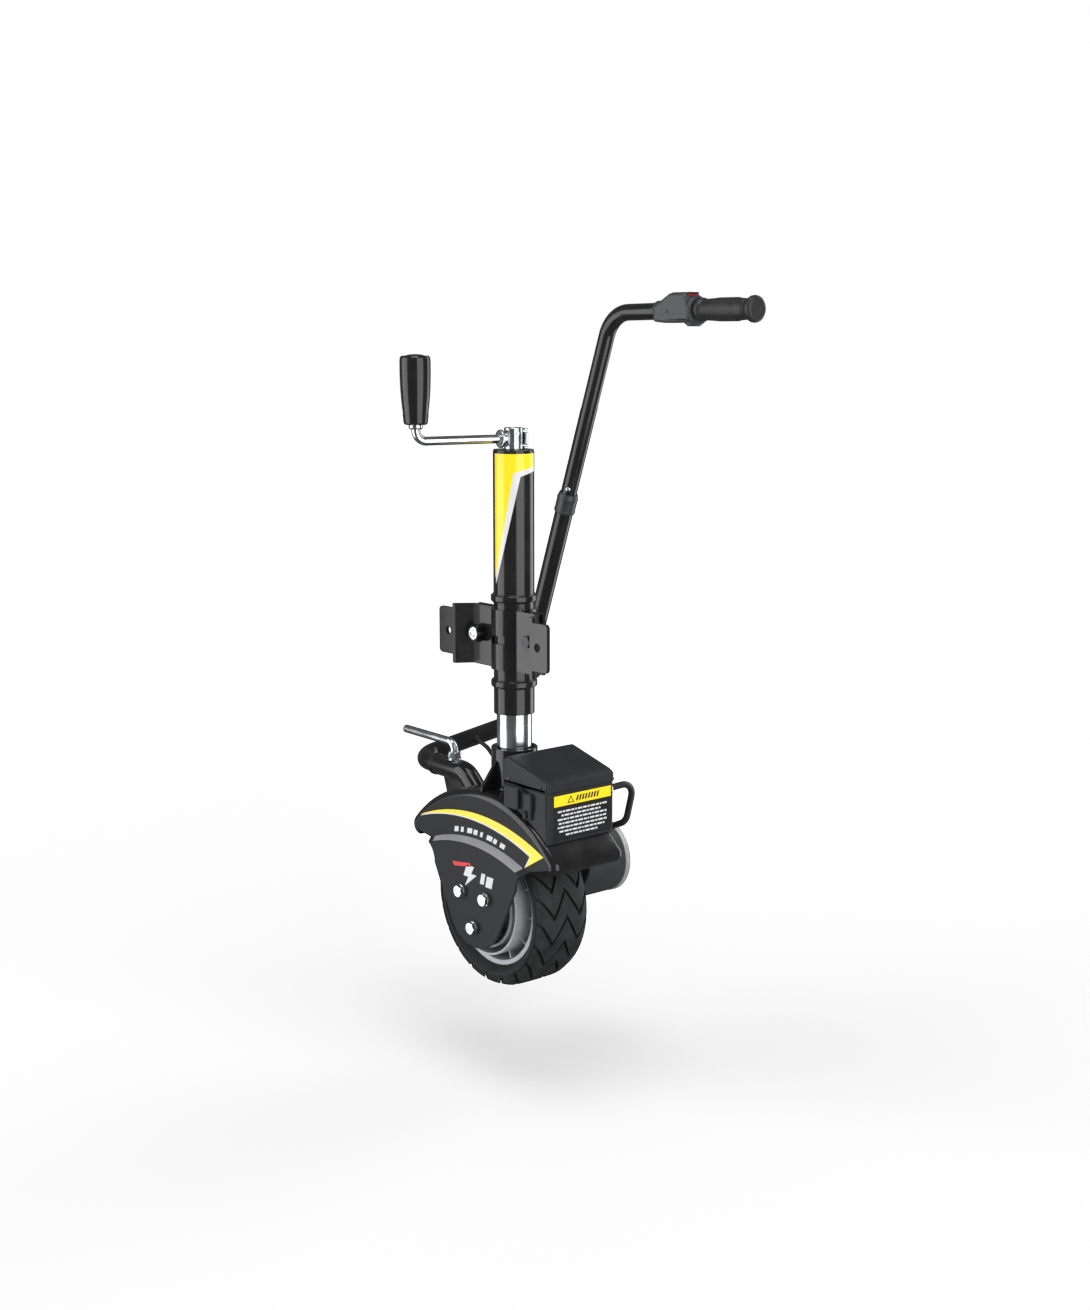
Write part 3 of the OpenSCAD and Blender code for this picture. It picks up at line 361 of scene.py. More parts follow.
def sweep(line, radius, n=24, end=0.0):
    """A round rod along a line of points, its ends rounded by end."""
    line = [Vector(p) for p in line]
    rings = []
    side = None
    for i, p in enumerate(line):
        u = (line[min(i + 1, len(line) - 1)] - line[max(i - 1, 0)]).normalized()
        if side is None:
            side = u.orthogonal().normalized()
        side = (side - u * side.dot(u)).normalized()
        rings.append((p, u, side, radius[i] if isinstance(radius, list) else radius))
    if end > 0:
        p, u, s, r = rings[0]
        rings[0] = (p + u * end, u, s, r)
        rings[:0] = [(p, u, s, r - end), (p + u * end * 0.3, u, s, r - end * 0.3)]
        p, u, s, r = rings[-1]
        rings[-1] = (p - u * end, u, s, r)
        rings += [(p - u * end * 0.3, u, s, r - end * 0.3), (p, u, s, r - end)]
    points, faces = [], []
    for p, u, s, r in rings:
        t = u.cross(s)
        for k in range(n):
            a = 2 * math.pi * k / n
            points.append(p + s * (r * math.cos(a)) + t * (r * math.sin(a)))
    for i in range(len(rings) - 1):
        for k in range(n):
            q = (k + 1) % n
            faces.append([i * n + k, i * n + q, (i + 1) * n + q, (i + 1) * n + k])
    faces.append(list(reversed(range(n))))
    faces.append(list(range((len(rings) - 1) * n, len(rings) * n)))
    return points, faces


def piece(name, shape, look, body, replaced="", sharp=38, bevel=0.0, thick=0.0):
    """Makes the shape an object of that name and hands it to the frame."""
    mesh = bpy.data.meshes.new(name)
    mesh.from_pydata([Vector((p[0], p[1] + TUBE_Y, p[2])) * MM for p in shape[0]], [], shape[1])
    work = bmesh.new()
    work.from_mesh(mesh)
    bmesh.ops.remove_doubles(work, verts=work.verts, dist=1e-6)
    bmesh.ops.recalc_face_normals(work, faces=work.faces)
    work.to_mesh(mesh)
    work.free()
    mesh.materials.append(look)
    mesh.shade_smooth()
    mesh.set_sharp_from_angle(angle=math.radians(sharp))
    obj = bpy.data.objects.new(name, mesh)
    bpy.context.scene.collection.objects.link(obj)
    if thick:
        shell = obj.modifiers.new("thick", "SOLIDIFY")
        shell.thickness = thick * MM
        shell.offset = -1
    if bevel:
        cut = obj.modifiers.new("bevel", "BEVEL")
        cut.width = bevel * MM
        cut.segments = 3
        cut.limit_method = "ANGLE"
        cut.angle_limit = math.radians(35)
    flat = obj.modifiers.new("flat", "WEIGHTED_NORMAL")
    flat.keep_sharp = True
    if body:
        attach(obj, body)
    if replaced:
        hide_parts(*replaced.split())
    return obj


# ---------------------------------------------------------------- wheel

def tyre():
    """Tyre with two rows of nested chevron grooves; the grid is sheared so that grooves follow its lines."""
    pitches = 20
    pitch = 2 * math.pi * TYRE_R / pitches
    groove = [-4.2, -2.9, 2.9, 4.2]
    rows = groove + [pitch * 0.25, pitch * 0.5, pitch * 0.75]
    swing = pitch * 1.0
    deep = 6.0
    bead_r = RIM_R + 0.5
    half = TYRE_HALF
    outline = rounded([
        (bead_r - 4, RIM_HALF - 4, 1.5), (bead_r + 0.4, RIM_HALF, 1), (bead_r + 6, half - 5, 6),
        (TYRE_R - 20, half, 14), (TYRE_R - 6, half - 5.5, 8), (TYRE_R - 0.6, half - 19, 30)], steps=4, closed=False)
    crown = [(TYRE_R - 0.6 + 0.6 * (1 - (y / (half - 19)) ** 2), y) for y in np.linspace(half - 22, 22 - half, 17)]
    left = [(r, -y) for r, y in reversed(outline)]
    profile = outline + crown + left
    inner = [(bead_r - 5.5, 5 - RIM_HALF), (bead_r - 5.5, RIM_HALF - 5)]
    columns = []
    total = 2 * half
    for r, y in profile:
        s = (y + half) / total
        wave = abs(((s * 2) % 1.0) * 2 - 1) if 0 < s < 1 else 1.0
        shoulder = min(1.0, max(0.0, (r - (TYRE_R - 22)) / 14.0))
        columns.append((r, y, wave * swing, deep * shoulder))
    for r, y in inner:
        columns.append((r, y, swing, 0))
    points, faces = [], []
    count = len(columns)
    for k in range(pitches):
        for j, u in enumerate(rows):
            sunk = 1.0 if j in (1, 2) else 0.0
            for r, y, shift, depth in columns:
                angle = (k * pitch + u + shift) / TYRE_R
                radius = r - depth * sunk
                points.append((radius * math.cos(angle), y - TYRE_MID, radius * math.sin(angle) + AXLE_Z))
    total_rows = pitches * len(rows)
    for i in range(total_rows):
        j = (i + 1) % total_rows
        for c in range(count):
            d = (c + 1) % count
            faces.append([i * count + c, i * count + d, j * count + d, j * count + c])
    return points, faces


piece("tyre_tread", tyre(), rubber, "wheel", "tyre", sharp=32)
beads = [lathe(rounded([(r, z), (r + 1.6, z), (r + 1.6, z + 1.2), (r, z + 1.2)], 0.5, 2), 128)
         for r, z in ((107, -2.6), (113, -1.2))]
for side, way in (("near", NEAR), ("far", FAR)):
    rings = join(*[put(b, (0, way[1] * TYRE_HALF - TYRE_MID, AXLE_Z), way) for b in beads])
    piece(f"sidewall_rings_{side}", rings, rubber, "wheel")


def rim_shape():
    barrel, seat, ring_t, web = RIM_R - 8, RIM_R - 5, 4.0, 2.0
    near, far, face = TYRE_MID + RIM_HALF, TYRE_MID - RIM_HALF, DRUM_FACE
    inner, hub = 79.0, 67.0
    half = rounded([
        (barrel, far, .8), (RIM_R, far, .9), (RIM_R, far + 2, .5), (seat, far + 5, 1), (seat, near - 5, 1),
        (RIM_R, near - 2, .5), (RIM_R, near, .9), (barrel, near, 1.6), (barrel, web, 3),
        (inner, web, 2), (inner, face, 1.2), (inner - ring_t, face, 1.2),
        (inner - ring_t, web, 2), (hub, web, 2), (hub, face, 1), (hub - ring_t, face, 1), (hub - ring_t, web, 2),
        (32, web, 3), (32, 36, 1), (21, 36, .5), (21, -20, .5), (32, -20, 1), (32, -8, 3), (50, -8, .5),
        (50, -41, .5), (56, -41, .8), (56, -8, 3), (barrel, -8, 4)], steps=3)
    ribs = [put(block(inner - 1, barrel + 1, -1.3, 1.3, web - 1, near - 3, 0.7, 0.5),
                x=(math.cos(a), math.sin(a), 0)) for a in [math.radians(-5 - 30 * i) for i in range(12)]]
    return put(join(lathe(half, 128), *ribs), (0, 0, AXLE_Z), NEAR)


piece("cast_rim", rim_shape(), rim_alloy, "wheel", "rim")


# ---------------------------------------------------------------- mudguard

SHOULDER = 11.0
REAR_NOSE, FRONT_NOSE = 17.0, 13.0
INSET = SHOULDER - 1.5


def nose_angle(nose_r):
    """Where a nose of this radius meets the mudguard's top arc, in degrees from upright."""
    return math.degrees(math.asin((GUARD_HALF + 1 - nose_r) / (GUARD_R - nose_r)))


def crown():
    """Pressed sheet over the wheel: its upper edge curls round a nose at each end and rolls down to the sides."""
    rear, front = nose_angle(REAR_NOSE), nose_angle(FRONT_NOSE)
    stations = [(a, REAR_NOSE, -rear) for a in np.linspace(-165, -rear, 19)[:-1]]
    stations += [(a, GUARD_R, 0) for a in np.linspace(-rear, front, 65)]
    stations += [(a, FRONT_NOSE, front) for a in np.linspace(front, 150, 17)[1:]]
    across = [(-PLATE_Y, -SHOULDER)]
    across += [(-PLATE_Y + SHOULDER * (1 - math.cos(math.radians(a))),
                -SHOULDER * (1 - math.sin(math.radians(a)))) for a in range(0, 91, 10)][1:]
    flat = PLATE_Y - SHOULDER
    across += [(y, 0.0) for y in np.linspace(-flat, flat, 13)[1:-1]]
    across += [(-y, z) for y, z in reversed(across[:10])]
    points, faces = [], []
    for a, radius, turn in stations:
        reach, turn, a = GUARD_R - radius, math.radians(turn), math.radians(a)
        for y, z in across:
            r = radius + min(z, 0)
            points.append((reach * math.sin(turn) + r * math.sin(a), y,
                           GUARD_Z + reach * math.cos(turn) + r * math.cos(a)))
    n = len(across)
    for i in range(len(stations) - 1):
        for k in range(n - 1):
            faces.append([i * n + k, i * n + k + 1, (i + 1) * n + k + 1, (i + 1) * n + k])
    return points, faces


piece("mudguard_crown", crown(), gloss_black, "fork", "crown_plate", thick=1.9)


def guard_outline():
    """Side plate's outline about the axle, inside the mudguard's rolled edge."""
    cz = GUARD_Z - AXLE_Z
    neck_x, neck_z, neck_r = 98.0, 46.0, 34.0
    tangent = math.degrees(math.atan2(neck_z, neck_x) - math.acos(BOSS_R / math.hypot(neck_x, neck_z)))
    sides = []
    for nose in (FRONT_NOSE, REAR_NOSE):
        turn = math.radians(nose_angle(nose))
        x, z = (GUARD_R - nose) * math.sin(turn), cz + (GUARD_R - nose) * math.cos(turn)
        sides.append(arc(0, cz, GUARD_R - INSET, 90, 90 - math.degrees(turn), 24)
                     + arc(x, z, nose - INSET, 85 - math.degrees(turn), -75, 10)
                     + arc(neck_x + neck_r, neck_z, neck_r, 95, 180, 12) + arc(0, 0, BOSS_R, tangent, -90, 24))
    return sides[0] + [(-x, z) for x, z in reversed(sides[1][1:-1])]


STEP_X, STEP_Z = -8, -212
STEP_TOP, STEP_FOOT = 312, 305


def split(outline, radius):
    """The outline's parts outside and inside the step's circle, and the two angles where it crosses."""
    gap = [math.hypot(x - STEP_X, z - STEP_Z) - radius for x, z in outline]
    n = len(outline)
    i, j = [k for k in range(n) if gap[k] * gap[(k + 1) % n] < 0]
    cuts = []
    for k in (i, j):
        (ax, az), (bx, bz) = outline[k], outline[(k + 1) % n]
        t = gap[k] / (gap[k] - gap[(k + 1) % n])
        cuts.append(math.degrees(math.atan2(az + (bz - az) * t - STEP_Z, ax + (bx - ax) * t - STEP_X)))
    one = outline[i + 1:j + 1] + arc(STEP_X, STEP_Z, radius, cuts[1], cuts[0], 48)
    two = outline[j + 1:] + outline[:i + 1] + arc(STEP_X, STEP_Z, radius, cuts[0], cuts[1], 48)
    return (one, two, cuts) if gap[i + 1] > 0 else (two, one, cuts)


near_outline = guard_outline()
upper_loop, _, top_cuts = split(near_outline, STEP_TOP)
_, lower_loop, foot_cuts = split(near_outline, STEP_FOOT)


def step_strip(y_top, y_foot, lift, thick, trim=0.0, n=64):
    """The sloping strip between the upper and the pressed lower part, as a band thick mm through."""
    points, faces = [], []
    for k in range(n + 1):
        t = trim + (1 - 2 * trim) * k / n
        a = math.radians(top_cuts[0] + (top_cuts[1] - top_cuts[0]) * t)
        b = math.radians(foot_cuts[0] + (foot_cuts[1] - foot_cuts[0]) * t)
        for turn, radius, y in ((a, STEP_TOP, y_top + lift), (b, STEP_FOOT, y_foot + lift),
                                (b, STEP_FOOT, y_foot + lift - thick), (a, STEP_TOP, y_top + lift - thick)):
            points.append((STEP_X + radius * math.cos(turn), STEP_Z + radius * math.sin(turn), y))
    for k in range(n):
        for c in range(4):
            d = (c + 1) % 4
            faces.append([4 * k + c, 4 * k + d, 4 * k + 4 + d, 4 * k + 4 + c])
    faces += [[3, 2, 1, 0], [4 * n, 4 * n + 1, 4 * n + 2, 4 * n + 3]]
    return put((points, faces), (0, 0, AXLE_Z), NEAR)


near_sheet = join(put(plate([upper_loop], INNER_Y, PLATE_Y, 0.8, 3), (0, 0, AXLE_Z), NEAR),
                  step_strip(PLATE_Y, PLATE_Y + DISH, -0.1, SHEET - 0.2),
                  put(plate([lower_loop], INNER_Y + DISH, PLATE_Y + DISH, 1.2, 3), (0, 0, AXLE_Z), NEAR))
piece("bolt_side_sheet", near_sheet, plate_black, "fork", "bolt_side_plate")
far_plate = put(plate([guard_outline()], -PLATE_Y, -INNER_Y, 1.0, 3), (0, 0, AXLE_Z), NEAR)
piece("motor_side_sheet", far_plate, plate_black, "fork", "motor_side_plate")


def decal(name, outline, look, y=None, body="fork", lift=0.25):
    """Thin vinyl on the near side plate, its outline about the axle."""
    y = PLATE_Y if y is None else y
    return piece(name, put(plate([outline], y - 0.2, y + lift, 0.05, 1), (0, 0, AXLE_Z), NEAR), look, body)


def curve_through(a, b, c, n=24):
    """Points of the circle through a, b and c, from a to c."""
    (ax, ay), (bx, by), (cx, cy) = a, b, c
    d = 2 * (ax * (by - cy) + bx * (cy - ay) + cx * (ay - by))
    ux = ((ax**2 + ay**2) * (by - cy) + (bx**2 + by**2) * (cy - ay) + (cx**2 + cy**2) * (ay - by)) / d
    uy = ((ax**2 + ay**2) * (cx - bx) + (bx**2 + by**2) * (ax - cx) + (cx**2 + cy**2) * (bx - ax)) / d
    r = math.hypot(ax - ux, ay - uy)
    a0, a1 = math.degrees(math.atan2(ay - uy, ax - ux)), math.degrees(math.atan2(cy - uy, cx - ux))
    return arc(ux, uy, r, a0, a1, n)


top_edge = curve_through((-149, 109), (0, 139), (149, 106), 30)
low_edge = curve_through((-149, 109), (-10, 129), (120, 102), 26)
decal("stripe_yellow", low_edge + [(110, 83)] + list(reversed(top_edge))[:-1], yellow)
rim_edge = curve_through((-149, 107), (-10, 127), (118, 100), 26)
decal("stripe_white", rim_edge + [(106, 81), (110, 83), (120, 102)] + list(reversed(low_edge))[1:-1], white)
# grey over the sloped step strip is a painted highlight: the light that the slope catches, laid on as a thin colour
# band
piece("painted_highlight_band", step_strip(PLATE_Y, PLATE_Y + DISH, 0.35, 0.4, 0.05), grey, "fork")


def sheared(x0, z0, w, h, lean=0.3):
    """A slanted bar, in the plane of an outline."""
    return [(x0, z0), (x0 + w, z0), (x0 + w + h * lean, z0 + h), (x0 + h * lean, z0 + h)]


# a row of small slanted bars along the stripe, and a generic bolt of lightning under the band
for i, (width, turn) in enumerate([(10, 12), (7, 9), (12, 6), (9, 2), (6, -2), (13, -5), (8, -9), (11, -12)]):
    x = -62 + 15.8 * i
    z = 109.5 - (x + 8) ** 2 / 560
    c, s = math.cos(math.radians(turn)), math.sin(math.radians(turn))
    bar = [(x + px * c - pz * s, z + px * s + pz * c) for px, pz in sheared(0, -4, width, 8)]
    decal(f"dash_{i}", bar, white)
low_face = PLATE_Y + DISH
decal("bolt_mark", [(-17, 60), (1, 60), (-6, 48), (7, 48), (-22, 26), (-13, 42), (-25, 42)], white, low_face)
for i, (x, w) in enumerate([(15, 9), (28, 15)]):
    decal(f"bolt_mark_bar_{i}", sheared(x, 38 - 2 * i, w, 17, 0.25), white, low_face)
decal("mark_red", [(-53, 58), (-9, 64), (-7, 59), (-47, 52)], red_plastic, low_face)


# ---------------------------------------------------------------- tube, stop rings and their stickers

piece("outer_tube_shell", lathe(rounded([(27.5, TUBE_FOOT), (TUBE_R, TUBE_FOOT), (TUBE_R, TUBE_TOP),
                                         (27.5, TUBE_TOP)], 0.9, 3)), gloss_black, "root",
      "outer_tube")
ring_lo, ring_hi = span("stop_rings")
RING_R, RING_HALF = (ring_hi.x - ring_lo.x) / 2, 7.0


def bead_ring(z):
    return lathe(rounded([
        (29.6, z - RING_HALF, 0), (30.8, z - RING_HALF, 0.6), (31.2, z - 5, 1.2), (RING_R, z - 4.2, 3),
        (RING_R, z + 4.2, 3), (31.2, z + 5, 1.2), (30.8, z + RING_HALF, 0.6), (29.6, z + RING_HALF, 0)], steps=4))


piece("stop_beads", join(bead_ring(ring_lo.z + RING_HALF), bead_ring(ring_hi.z - RING_HALF)), gloss_black, "root",
      "stop_rings")
cap_lo, cap_hi = span("tube_cap")
piece("tube_cap_moulded", lathe(rounded([
    (10.3, cap_lo.z), (27.4, cap_lo.z), (27.4, TUBE_TOP), (29.4, TUBE_TOP), (29.4, cap_hi.z), (17, cap_hi.z, 0.5),
    (16.5, cap_hi.z - 1, 0.5), (10.3, cap_hi.z - 1)], 0.5, 2)), gloss_plastic, "root", "tube_cap")

FACING = -40.0


def sticker(name, look, lower, upper, start, end, n=72):
    """A sticker round the tube between two heights given over the angle from the facing direction."""
    points, faces = [], []
    for i in range(n + 1):
        a = start + (end - start) * i / n
        c, s = math.cos(math.radians(FACING + a)), math.sin(math.radians(FACING + a))
        low, high = lower(a), upper(a)
        steps = 10
        for r in (TUBE_R - 0.3, TUBE_R + 0.22):
            points += [(r * c, r * s, low + (high - low) * k / steps) for k in range(steps + 1)]
    row = 22
    for i in range(n):
        a, b = i * row, (i + 1) * row
        for k in range(10):
            faces.append([a + 11 + k, b + 11 + k, b + 12 + k, a + 12 + k])
        faces.append([a, b, b + 11, a + 11])
        faces.append([a + 10, a + 21, b + 21, b + 10])
    for a in (0, n * row):
        faces.append([a + k for k in range(11)] + [a + 21 - k for k in range(11)])
    return piece(name, (points, faces), look, "root", sharp=30)


def across_tube(a):
    return math.sin(math.radians(a)) if a < 90 else 1 + math.radians(a - 90)


def yellow_foot(a):
    u = across_tube(a)
    return 243 + 172 * u if u < 0 else 243 + 9 * u


def white_foot(a):
    u = across_tube(a)
    return 80 + 130.6 * (u + 0.86) if u < 0.35 else 238 + 10.8 * (u - 0.35)


sticker("tube_yellow", yellow, yellow_foot, lambda a: 271.0, -64, 100)
sticker("tube_white", white, white_foot, lambda a: yellow_foot(a) + 0.01, -59.5, 100)


# ---------------------------------------------------------------- clamp

def lobed(profile, lobes, depth, n=144):
    """A lathe whose radius waves with the given number of lobes, by depth times each point's third number."""
    points, faces = [], []
    for r, z, wave in profile:
        for i in range(n):
            a = 2 * math.pi * i / n
            q = r - depth * wave * (0.5 - 0.5 * math.cos(lobes * a)) ** 1.4
            points.append((q * math.cos(a), q * math.sin(a), z))
    for k in range(len(profile) - 1):
        for i in range(n):
            j = (i + 1) % n
            faces.append([k * n + i, k * n + j, (k + 1) * n + j, (k + 1) * n + i])
    faces.append(list(reversed(range(n))))
    faces.append(list(range((len(profile) - 1) * n, len(profile) * n)))
    return points, faces


star_lo, star_hi = span("clamp_knob")
STAR_X, STAR_R = (star_lo.x + star_hi.x) / 2, (star_hi.z - star_lo.z) / 2
STAR_FRONT = star_lo.y - TUBE_Y
STAR_BACK = STAR_FRONT + 15
star = lobed([(STAR_R - 5, 0, 0.2), (STAR_R - 1, 1.2, 0.9), (STAR_R, 4, 1), (STAR_R, 11, 1),
              (STAR_R - 0.8, 13.4, 0.9), (STAR_R - 2.8, 15, 0.5), (11.6, 15, 0.1), (11.0, 13.4, 0),
              (10.8, 12.6, 0)], 6, 5.4)
piece("star_knob", join(put(star, (STAR_X, STAR_BACK, 0), NEAR),
                        put(lathe([(0, 0), (4.9, 0), (4.9, star_hi.y - TUBE_Y - STAR_BACK), (0, star_hi.y - TUBE_Y
                                                                                         - STAR_BACK)], 32),
                            (STAR_X, STAR_BACK, 0), FAR)), gloss_plastic, "clamp_screw",
      "clamp_knob")
piece("star_knob_cap", put(lathe([(0, 11.5), (10.7, 11.5), (10.7, 14.2), (10.1, 15.2), (8.6, 15.9), (5.0, 15.5),
                                  (4.6, 16.6), (4.0, 17), (0, 17.2)], 48), (STAR_X, STAR_BACK, 0), NEAR),
      zinc, "clamp_screw")


# ---------------------------------------------------------------- crank

CRANK = math.radians(-100)
ROD = Vector((math.cos(CRANK), math.sin(CRANK), 0))
hub_lo, hub_hi = span("crank_hub")
HUB_R, CRANK_Z = (hub_hi.x - hub_lo.x) / 2, (hub_lo.z + hub_hi.z) / 2
knob_lo, knob_hi = span("crank_knob")
knob_mid = (knob_lo + knob_hi) / 2
REACH = math.hypot(knob_mid.x, knob_mid.y - TUBE_Y)
KNOB_R = (knob_hi.x - knob_lo.x) / 2
KNOB_Z, KNOB_LEN = knob_lo.z, knob_hi.z - knob_lo.z
crank_pin = ROD * REACH
side = Vector((-ROD.y, ROD.x, 0))
hub_profile = rounded([(10, hub_lo.z), (HUB_R, hub_lo.z), (HUB_R, hub_hi.z), (10, hub_hi.z)], 1.0, 3)
flange = join(put(block(-9, 9, -14.5, 14.5, 0, 2.2, 0.7), tuple(-ROD * (HUB_R + 0.6) + Vector((0, 0, CRANK_Z))),
                  -ROD, x=(0, 0, 1)))
lips = join(*[put(block(-1.2, 1.2, -9, 9, 0, 5.5, 0.6), tuple(-ROD * (HUB_R + 0.2)
                                                            + Vector((0, 0, CRANK_Z + s * 13.2))), -ROD, x=(0, 0, 1))
              for s in (-1, 1)])
piece("hub_sleeve", join(lathe(hub_profile, 72), flange, lips), zinc, "crank", "crank_hub")
pin_lo, pin_hi = span("hub_pin")
PIN_Z = (pin_lo.z + pin_hi.z) / 2
pin = join(*[put(lathe(rounded([(0, 8, 0), (3.2, 8, 0), (3.2, HUB_R + 1.6, 0.8), (0, HUB_R + 2.2, 1)], steps=3), 32),
                 (0, 0, PIN_Z), s * side) for s in (-1, 1)])
piece("hub_cross_pin", pin, zinc, "crank", "hub_pin")
rod_line = filleted([ROD * 10.6 + Vector((0, 0, CRANK_Z)), crank_pin + Vector((0, 0, CRANK_Z)),
                     crank_pin + Vector((0, 0, KNOB_Z + KNOB_LEN - 12))], 16, 14)
rod_washer = put(lathe(rounded([(6, 0), (13, 0), (13, 4), (6, 4)], 0.9, 3), 64),
                 tuple(ROD * (HUB_R + 6) + Vector((0, 0, CRANK_Z))), ROD)
rod_collar = put(lathe(rounded([(6, 0), (8.6, 0), (8.6, 6), (6, 7)], 0.9, 3), 48),
                 tuple(ROD * (HUB_R - 0.8) + Vector((0, 0, CRANK_Z))), ROD)
piece("crank_arm", join(sweep(rod_line, 6.0, 32), rod_washer, rod_collar), zinc, "crank", "crank_rod")
ferrule_lo, ferrule_hi = span("knob_ferrule")
at_pin = (crank_pin.x, crank_pin.y, 0)
piece("ferrule_turned", put(lathe(rounded([
    (6.1, ferrule_lo.z), (7.6, ferrule_lo.z), (9.9, ferrule_lo.z + 2.2), (9.9, ferrule_hi.z), (6.1, ferrule_hi.z)],
    0.6, 3), 64), at_pin), zinc, "crank", "knob_ferrule")
wide = [(0, 13.5), (1.6, 15.2), (15, 16.4), (32, 18.2), (50, 19.4), (70, 20), (88, 20), (93, 19.6)]
grown = [(KNOB_R * r / 20, KNOB_Z + KNOB_LEN * z / 96) for z, r in wide]
top_z = KNOB_Z + KNOB_LEN
piece("knob_moulded", put(lathe(rounded(
    [(6.1, KNOB_Z, 0)] + [(r, z, 5 if 0 < i < 7 else 1.2) for i, (r, z) in enumerate(grown)]
    + [(KNOB_R - 2.2, top_z, 1.6), (15.6, top_z, 0.8), (15.2, top_z - 4.6, 0.4), (6.1, top_z - 4.6, 0)],
    steps=5), 96), at_pin), gloss_plastic, "crank_grip", "crank_knob")
piece("knob_cap_domed", put(lathe([(0, top_z - 5), (14.9, top_z - 5), (14.9, top_z - 1), (14.2, top_z - 0.1),
                                   (12, top_z + 0.9), (8, top_z + 1.7), (4, top_z + 2.1), (0, top_z + 2.2)], 72),
                              at_pin),
      gloss_plastic, "crank_grip", "knob_cap")


# ---------------------------------------------------------------- inner tube and fork socket

lift_lo, lift_hi = span("lift_tube")
LIFT_R = (lift_hi.x - lift_lo.x) / 2
piece("lift_tube_plated", lathe(rounded([(LIFT_R - 3, lift_lo.z), (LIFT_R, lift_lo.z), (LIFT_R, lift_hi.z),
                                         (LIFT_R - 3, lift_hi.z)], 0.8, 2)), zinc, "lift", "lift_tube")
socket_lo, socket_hi = span("fork_socket")
SOCKET_R = (socket_hi.x - socket_lo.x) / 2
SOCKET_TOP = socket_hi.z
weld = [(SOCKET_R - 0.5, GUARD_TOP + 4.5), (SOCKET_R + 1.2, GUARD_TOP + 3.6), (SOCKET_R + 3.4, GUARD_TOP + 1.2),
        (SOCKET_R + 4, GUARD_TOP - 1.5), (SOCKET_R - 0.5, GUARD_TOP - 1.5)]
piece("fork_socket_turned", join(
    lathe(rounded([(11, GUARD_TOP), (SOCKET_R, GUARD_TOP), (SOCKET_R, SOCKET_TOP), (30.1, SOCKET_TOP),
                   (30.1, GUARD_TOP + 6), (11, GUARD_TOP + 6)], 1.0, 3)),
    lathe(weld)), gloss_black, "fork", "fork_socket")


def upright(shape, x):
    """An outline in Y and Z made a sheet across X."""
    return put(shape, (x, 0, 0), (1, 0, 0), (0, 1, 0))


gussets = [upright(plate([rounded([
    (s * (SOCKET_R - 1), GUARD_TOP, 0), (s * INNER_Y, GUARD_TOP, 0), (s * INNER_Y, GUARD_TOP + 6, 2),
    (s * (SOCKET_R - 1), SOCKET_TOP - 14, 2)])], -SHEET / 2, SHEET / 2, 0.9), 0) for s in (-1, 1)]


def guard_height(x):
    return GUARD_Z + math.sqrt(GUARD_R ** 2 - x * x)


hs_lo, hs_hi = span("handle_socket")
RUN_Z = hs_hi.z - (hs_hi.y - hs_lo.y) / 2
SLEEVE_R = (hs_hi.y - hs_lo.y) / 2
fin = [(-176, RUN_Z - SLEEVE_R + 1), (-112, RUN_Z - SLEEVE_R + 1), (-100, guard_height(-100) + 1)]
fin += [(x, guard_height(x) - 1) for x in range(-104, -161, -8)]
gussets.append(put(plate([fin], -SHEET / 2, SHEET / 2, 0.9), (0, 0, 0), NEAR))
piece("socket_gussets", join(*gussets), gloss_black, "fork", "fork_gussets")


# ---------------------------------------------------------------- handle

HANDLE_BACK, HANDLE_Y = 250, 200
grip_lo, grip_hi = span("grip")
HANDLE_TOP = (grip_lo.z + grip_hi.z) / 2 - 2.4
LOW_R = SLEEVE_R - 2.05
top_corner = Vector((-8, HANDLE_Y, HANDLE_TOP))
low_corner = Vector((-HANDLE_BACK, HANDLE_Y, RUN_Z + 30))
lean = (top_corner - low_corner).normalized()
joint_p = low_corner + lean * 412
UP_R = LOW_R - 1.6

sleeve_line = filleted([(hs_lo.x, 0, RUN_Z), (-120, 0, RUN_Z), (-92, 0, RUN_Z - 24.6)], 34, 10)
lip = rounded([(LOW_R + 0.3, 0), (SLEEVE_R + 1.1, 0), (SLEEVE_R + 1.1, 5), (SLEEVE_R - 0.6, 6)], 0.9, 3)
sleeve_lip = put(lathe(lip, 48), (hs_lo.x, 0, RUN_Z), (1, 0, 0))
piece("handle_sleeve", join(sweep(sleeve_line, SLEEVE_R, 40, 0.8), sleeve_lip), gloss_black, "fork",
      "handle_socket")
low_line = filleted([(-136, 0, RUN_Z), (-HANDLE_BACK, 0, RUN_Z), low_corner, joint_p], 38, 14)
piece("handle_lower_tube", sweep(low_line, LOW_R, 40, 0.6), gloss_black, "handle",
      "lower_handle")
up_line = filleted([joint_p - lean * 60, top_corner, (242, HANDLE_Y, HANDLE_TOP + 3)], 52, 16)
piece("handle_upper_tube", sweep(up_line, UP_R, 40, 0.6), gloss_black, "handle",
      "upper_handle")
collar = lathe(rounded([(LOW_R - 2, 0, 0), (15.4, 0, 1), (16, 2, 1), (16, 26, 2.5), (14.4, 33, 1.2),
                        (UP_R - 0.5, 33, 0)], steps=3), 64)
rolls = [lathe(rounded([(15.2, z - 1.4), (16.5, z - 1.2), (16.5, z + 1.2), (15.2, z + 1.4)], 0.9, 3), 64)
         for z in (3.5, 24.5)]
piece("collar_swaged", put(join(collar, *rolls), joint_p - lean * 25, lean), satin_black, "handle",
      "handle_collar")
button_at = joint_p + lean * 18
button_way = Vector((1, -1.2, 0.2))
button_way = (button_way - lean * button_way.dot(lean)).normalized()
piece("snap_button", put(lathe([(0, -5), (3.9, -5), (3.9, 1.6), (3.4, 2.4), (2.2, 3.0), (0, 3.2)], 32),
                         button_at + button_way * UP_R, button_way), zinc, "button", "collar_button")
plug_at = Vector((-HANDLE_BACK + LOW_R, 112, RUN_Z + 17))
